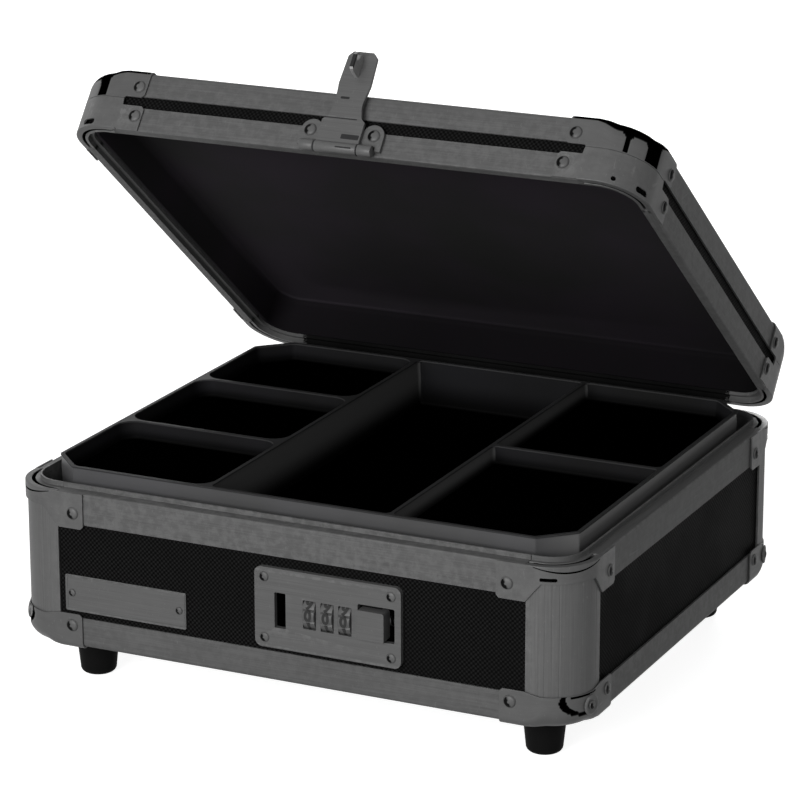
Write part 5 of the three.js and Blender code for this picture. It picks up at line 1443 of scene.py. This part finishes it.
def hasp_base():
    """The hasp's plate with two round ears, a barrel with its web at each end, and the pin."""
    half, ear = 23.5, 6.2
    ear_x, ear_z = half - ear, 16.7 - ear
    gap, low = 12.6, 2.2
    outline = np.vstack([[[-half, low], [-gap, low], [-gap, 4.6], [gap, 4.6], [gap, low],
                          [half, low]],
                         arc(ear_x, ear_z, ear, 0, 147, 14),
                         [[ear_x - ear, 12.2], [-ear_x + ear, 12.2]],
                         arc(-ear_x, ear_z, ear, 33, 180, 14)])
    parts = [upright(plate(outline, 0, 2.0), INNER, 0, LID)]
    for s in (-1, 1):
        x0, x1 = sorted((s * 12.5, s * 20.3))
        parts.append(rod(BARREL, x0, x1, HASP_DEPTH, HASP_Z))
        web = rounded_box(HASP_Z + 1.2, HASP_Z + 3.0, HASP_DEPTH, -1.2, 0.3, 2)
        parts.append(moved(plate(web, x0, x1), [[0, 0, 1], [0, 1, 0], [1, 0, 0]]))
    parts.append(rod(1.2, -16, 16, HASP_DEPTH, HASP_Z, 16, 0.1))
    return joined(*[outward(p) for p in parts])


piece("hasp_hinge_plate", "lid", on_hasp(hasp_base()), lock_metal, ["hasp_base"],
      bevel=0.35, segments=3)
lid_heads += [on_hasp(upright(head(), HASP_FACE, s * 18, LID + 10.5)) for s in (-1, 1)]
piece("lid_rivet_heads", "lid", joined(*lid_heads), lid_rivet_metal, sharp=60)


def strap_outline():
    """Root, neck, swelling lever and cut-cornered tip, the same on both sides."""
    right = np.array([[12, 0], [12, 15], [9.6, 17], [8.2, 22], [7.8, 25], [8.4, 31], [9, 36],
                      [8.2, 51.8], [5.74, 54.4]])
    left = right[::-1] * (-1, 1)
    radii = [0.1, 1.5, 1.5, 3, 4, 6, 8, 1.2, 1.2]
    return rounded(np.vstack([right, left]), radii + radii[::-1], 4)


def strap():
    """The lever with its barrel, the staple's tab with its eye, and what is painted black on them
    as
    shade: the tab's narrow front edge, the marks pressed into the strap, and the gaps beside the
    barrel. Drawn from the pin's axis."""
    thick = 1.9
    face = HASP_DEPTH - thick / 2
    flat = upright(plate(strap_outline(), 0, thick), face + thick)
    tip = face - 9.2
    low, high = 39.3, 50.7
    tab = [[HASP_DEPTH, low], [tip + 3, low + 0.3], [tip + 0.8, low + 1.0], [tip, low + 2.4],
           [tip, high - 2.4], [tip + 0.8, high - 1.0], [tip + 3, high - 0.3], [HASP_DEPTH, high]]
    eye = arc(2 * HASP_DEPTH - 3.2, 48.75, 2.4, 0, 360, 24)[:-1]
    front = [[tip - 0.03, low + 2.2], [tip + 1.3, low + 1.6], [tip + 1.3, high - 1.6],
             [tip - 0.03, high - 2.2]]
    pressed = [(1.2, 11.2, 4.9, 7.6, 0.4), (-11.0, 7.4, 15.9, 16.5, 0.25),
               (-5.4, -0.4, 27.2, 28.5, 0.5), (-8.6, 0.6, 0.2, 0.8, 0.25)]
    seam = plate(rounded_box(0.6, 9.6, -1.0, -0.3, 0.3, 3), 0, 0.4)
    black = [lengthwise(plate(front, -0.93, 0.93)), upright(seam, HASP_DEPTH - 2.66)]
    black += [rod(BARREL + 0.06, x0, x1, HASP_DEPTH, 0)
              for x0, x1 in ((-12.45, -11.4), (11.85, 12.4))]
    black += [upright(plate(rounded_box(*mark, 3), 0, 0.34), face + 0.3) for mark in pressed]
    groups = ([flat, rod(BARREL, -11.9, 11.9, HASP_DEPTH, 0)],
              [lengthwise(plate(tab, -0.9, 0.9, [eye]))], black)
    return [on_hasp(joined(*[outward(p) for p in parts]), HASP_Z) for parts in groups]


lever, staple, lever_marks = strap()
piece("hasp_lever", "hasp", lever, lock_metal, ["hasp_strap"], bevel=0.3, segments=3)
piece("hasp_staple", "hasp", staple, staple_lit_metal, bevel=0.12)
# Black marks of painted shade on the hasp
piece("hasp_dark_marks", "hasp", lever_marks, rim_black)


# Rear hinge, drawn in the rear side's frame

def hinge_leaf(parity, direction, height):
    """A leaf with every other one of the hinge's knuckles, each on its tab, and five rivets.
    direction is -1 for the leaf below the pin and 1 for the one above it."""
    length, knuckles, thick, rivets = 230.0, 9, 1.0, 5
    pitch = length / knuckles
    edges = sorted((HINGE_Z + direction * 1.8, HINGE_Z + direction * height))
    leaf = rounded_box(-length / 2, length / 2, *edges, 1.2, 4)
    parts = [upright(plate(leaf, 0, thick), INNER)]
    tab = sorted((HINGE_Z, HINGE_Z + direction * 4.3))
    for i in range(parity, knuckles, 2):
        x0, x1 = -length / 2 + i * pitch + 0.2, -length / 2 + (i + 1) * pitch - 0.2
        parts.append(rod(2.5, x0, x1, -3.4, HINGE_Z, 26, 0.25))
        parts.append(upright(plate(box_corners(x0, x1, *tab), 0, thick), INNER))
    heads = [upright(head(2.2, 0.9, 22), INNER - thick, -length / 2 + (i + 0.5) * length / rivets,
                     HINGE_Z + direction * 7.2) for i in range(rivets)]
    return [at_side(joined(*made), "rear") for made in ([outward(p) for p in parts], heads)]


low_leaf, low_heads = hinge_leaf(0, -1, 12.5)
high_leaf, high_heads = hinge_leaf(1, 1, 10.5)
piece("hinge_lower_leaf", "base", low_leaf, hinge_metal, ["hinge_base_leaf"], bevel=0.2)
piece("hinge_upper_leaf", "lid", opened(high_leaf), hinge_metal, ["hinge_lid_leaf"],
      bevel=0.2)
piece("hinge_lower_rivets", "base", low_heads, base_rivet_metal, sharp=60)
piece("hinge_upper_rivets", "lid", opened(high_heads), lid_rivet_metal, sharp=60)


# The solids that stay in view get their finishes

for node, finish in {
    "base_front_board": panel_black, "base_rear_board": panel_black, "base_left_board": panel_black,
    "base_right_board": panel_black, "base_floor_board": panel_black, "lid_shell": lid_black,
    # The lock's case is painted black, as shade in the hollow behind its windows
    "lock_case": painted_shade_black, "release_spring": inner_metal,
}.items():
    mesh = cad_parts[node].data
    mesh.materials.clear()
    mesh.materials.append(finish)


# Floor, light and camera

def floor():
    """A wide pale floor. To the camera and in mirrors it is a little brighter, so that away
    from the box it meets the white surroundings, and the box's shadow stays on it."""
    bpy.ops.mesh.primitive_plane_add(size=12, location=(0, 0, (BOTTOM - FOOT_DROP) * MM))
    ground = bpy.context.object
    ground.name = "pale_floor"
    made = bpy.data.materials.new("pale_floor_paint")
    made.use_nodes = True
    made.node_tree.nodes.clear()
    w = Wiring(made.node_tree)
    direct = w.direct_ray()
    shade = w.blend(direct, grey(0.22), grey(0.5))
    paint = w.node("BsdfDiffuse", {"Color": shade}).outputs[0]
    glow = w.node("Emission", {"Strength": w.math("MULTIPLY", direct, 0.9)}).outputs[0]
    both = w.node("AddShader", {0: paint, 1: glow}).outputs[0]
    w.feed(w.node("OutputMaterial").inputs["Surface"], both)
    ground.data.materials.append(made)


floor()

surroundings = bpy.data.worlds.new("studio")
bpy.context.scene.world = surroundings
surroundings.use_nodes = True
surroundings.node_tree.nodes.clear()
sky = Wiring(surroundings.node_tree)
# 1 as seen, 0.16 as light on the box
strength = sky.math("MULTIPLY_ADD", sky.direct_ray(), 0.84, 0.16)
backdrop = sky.node("Background", {"Color": (1, 1, 1, 1), "Strength": strength})
sky.feed(sky.node("OutputWorld").inputs["Surface"], backdrop.outputs[0])


AIM = Vector((0, 0, 0.1))


def lamp(name, place, size, power):
    """A round softbox that points at the box's middle."""
    light = bpy.data.lights.new(name, "AREA")
    light.shape, light.size, light.energy = "DISK", size, power
    thing = added(name, light)
    thing.location = place
    thing.rotation_euler = (AIM - Vector(place)).to_track_quat("-Z", "Y").to_euler()


lamp("front_softbox", (-0.2, -2.55, 0.85), 1.5, 56)
lamp("front_right_softbox", (1.5, -2.2, 0.9), 1.2, 7)
lamp("right_softbox", (2.4, -0.3, 1.0), 1.2, 1.5)
lamp("rear_softbox", (-0.7, 2.5, 0.95), 1.5, 46)
lamp("left_softbox", (-2.4, 0.6, 0.9), 1.2, 7)
lamp("overhead_softbox", (-0.5, -0.6, 2.4), 1.4, 3)


def camera():
    """The lens stands at the photograph's angle, two metres off its aim, which the fit shifts
    in the lens's own plane. The lens in pixels times the sensor over the picture's width is
    the lens in millimetres."""
    azimuth, elevation, roll = np.radians([25.60, 17.20, -0.12])
    aim, away, left, lift = np.array([0, -0.175, 58.55]), 2013.86, 2.62, 50.36
    lens_pixels, picture_pixels, sensor = 3713.29, 800.0, 36.0
    out = np.array([np.sin(azimuth) * np.cos(elevation), -np.cos(azimuth) * np.cos(elevation),
                    np.sin(elevation)])
    right = np.array([np.cos(azimuth), np.sin(azimuth), 0.0])
    up = np.cross(right, -out)
    right, up = (np.cos(roll) * right + np.sin(roll) * up,
                 -np.sin(roll) * right + np.cos(roll) * up)
    place = aim + out * away - right * left + up * lift
    data = bpy.data.cameras.new("view")
    data.sensor_width, data.lens = sensor, lens_pixels * sensor / picture_pixels
    data.clip_start, data.clip_end = 0.05, 50.0
    thing = added("view", data)
    thing.matrix_world = Matrix(
        [[right[i], up[i], out[i], place[i] * MM] for i in range(3)] + [[0, 0, 0, 1]])
    bpy.context.scene.camera = thing


camera()
bpy.context.scene.view_settings.view_transform = "Standard"
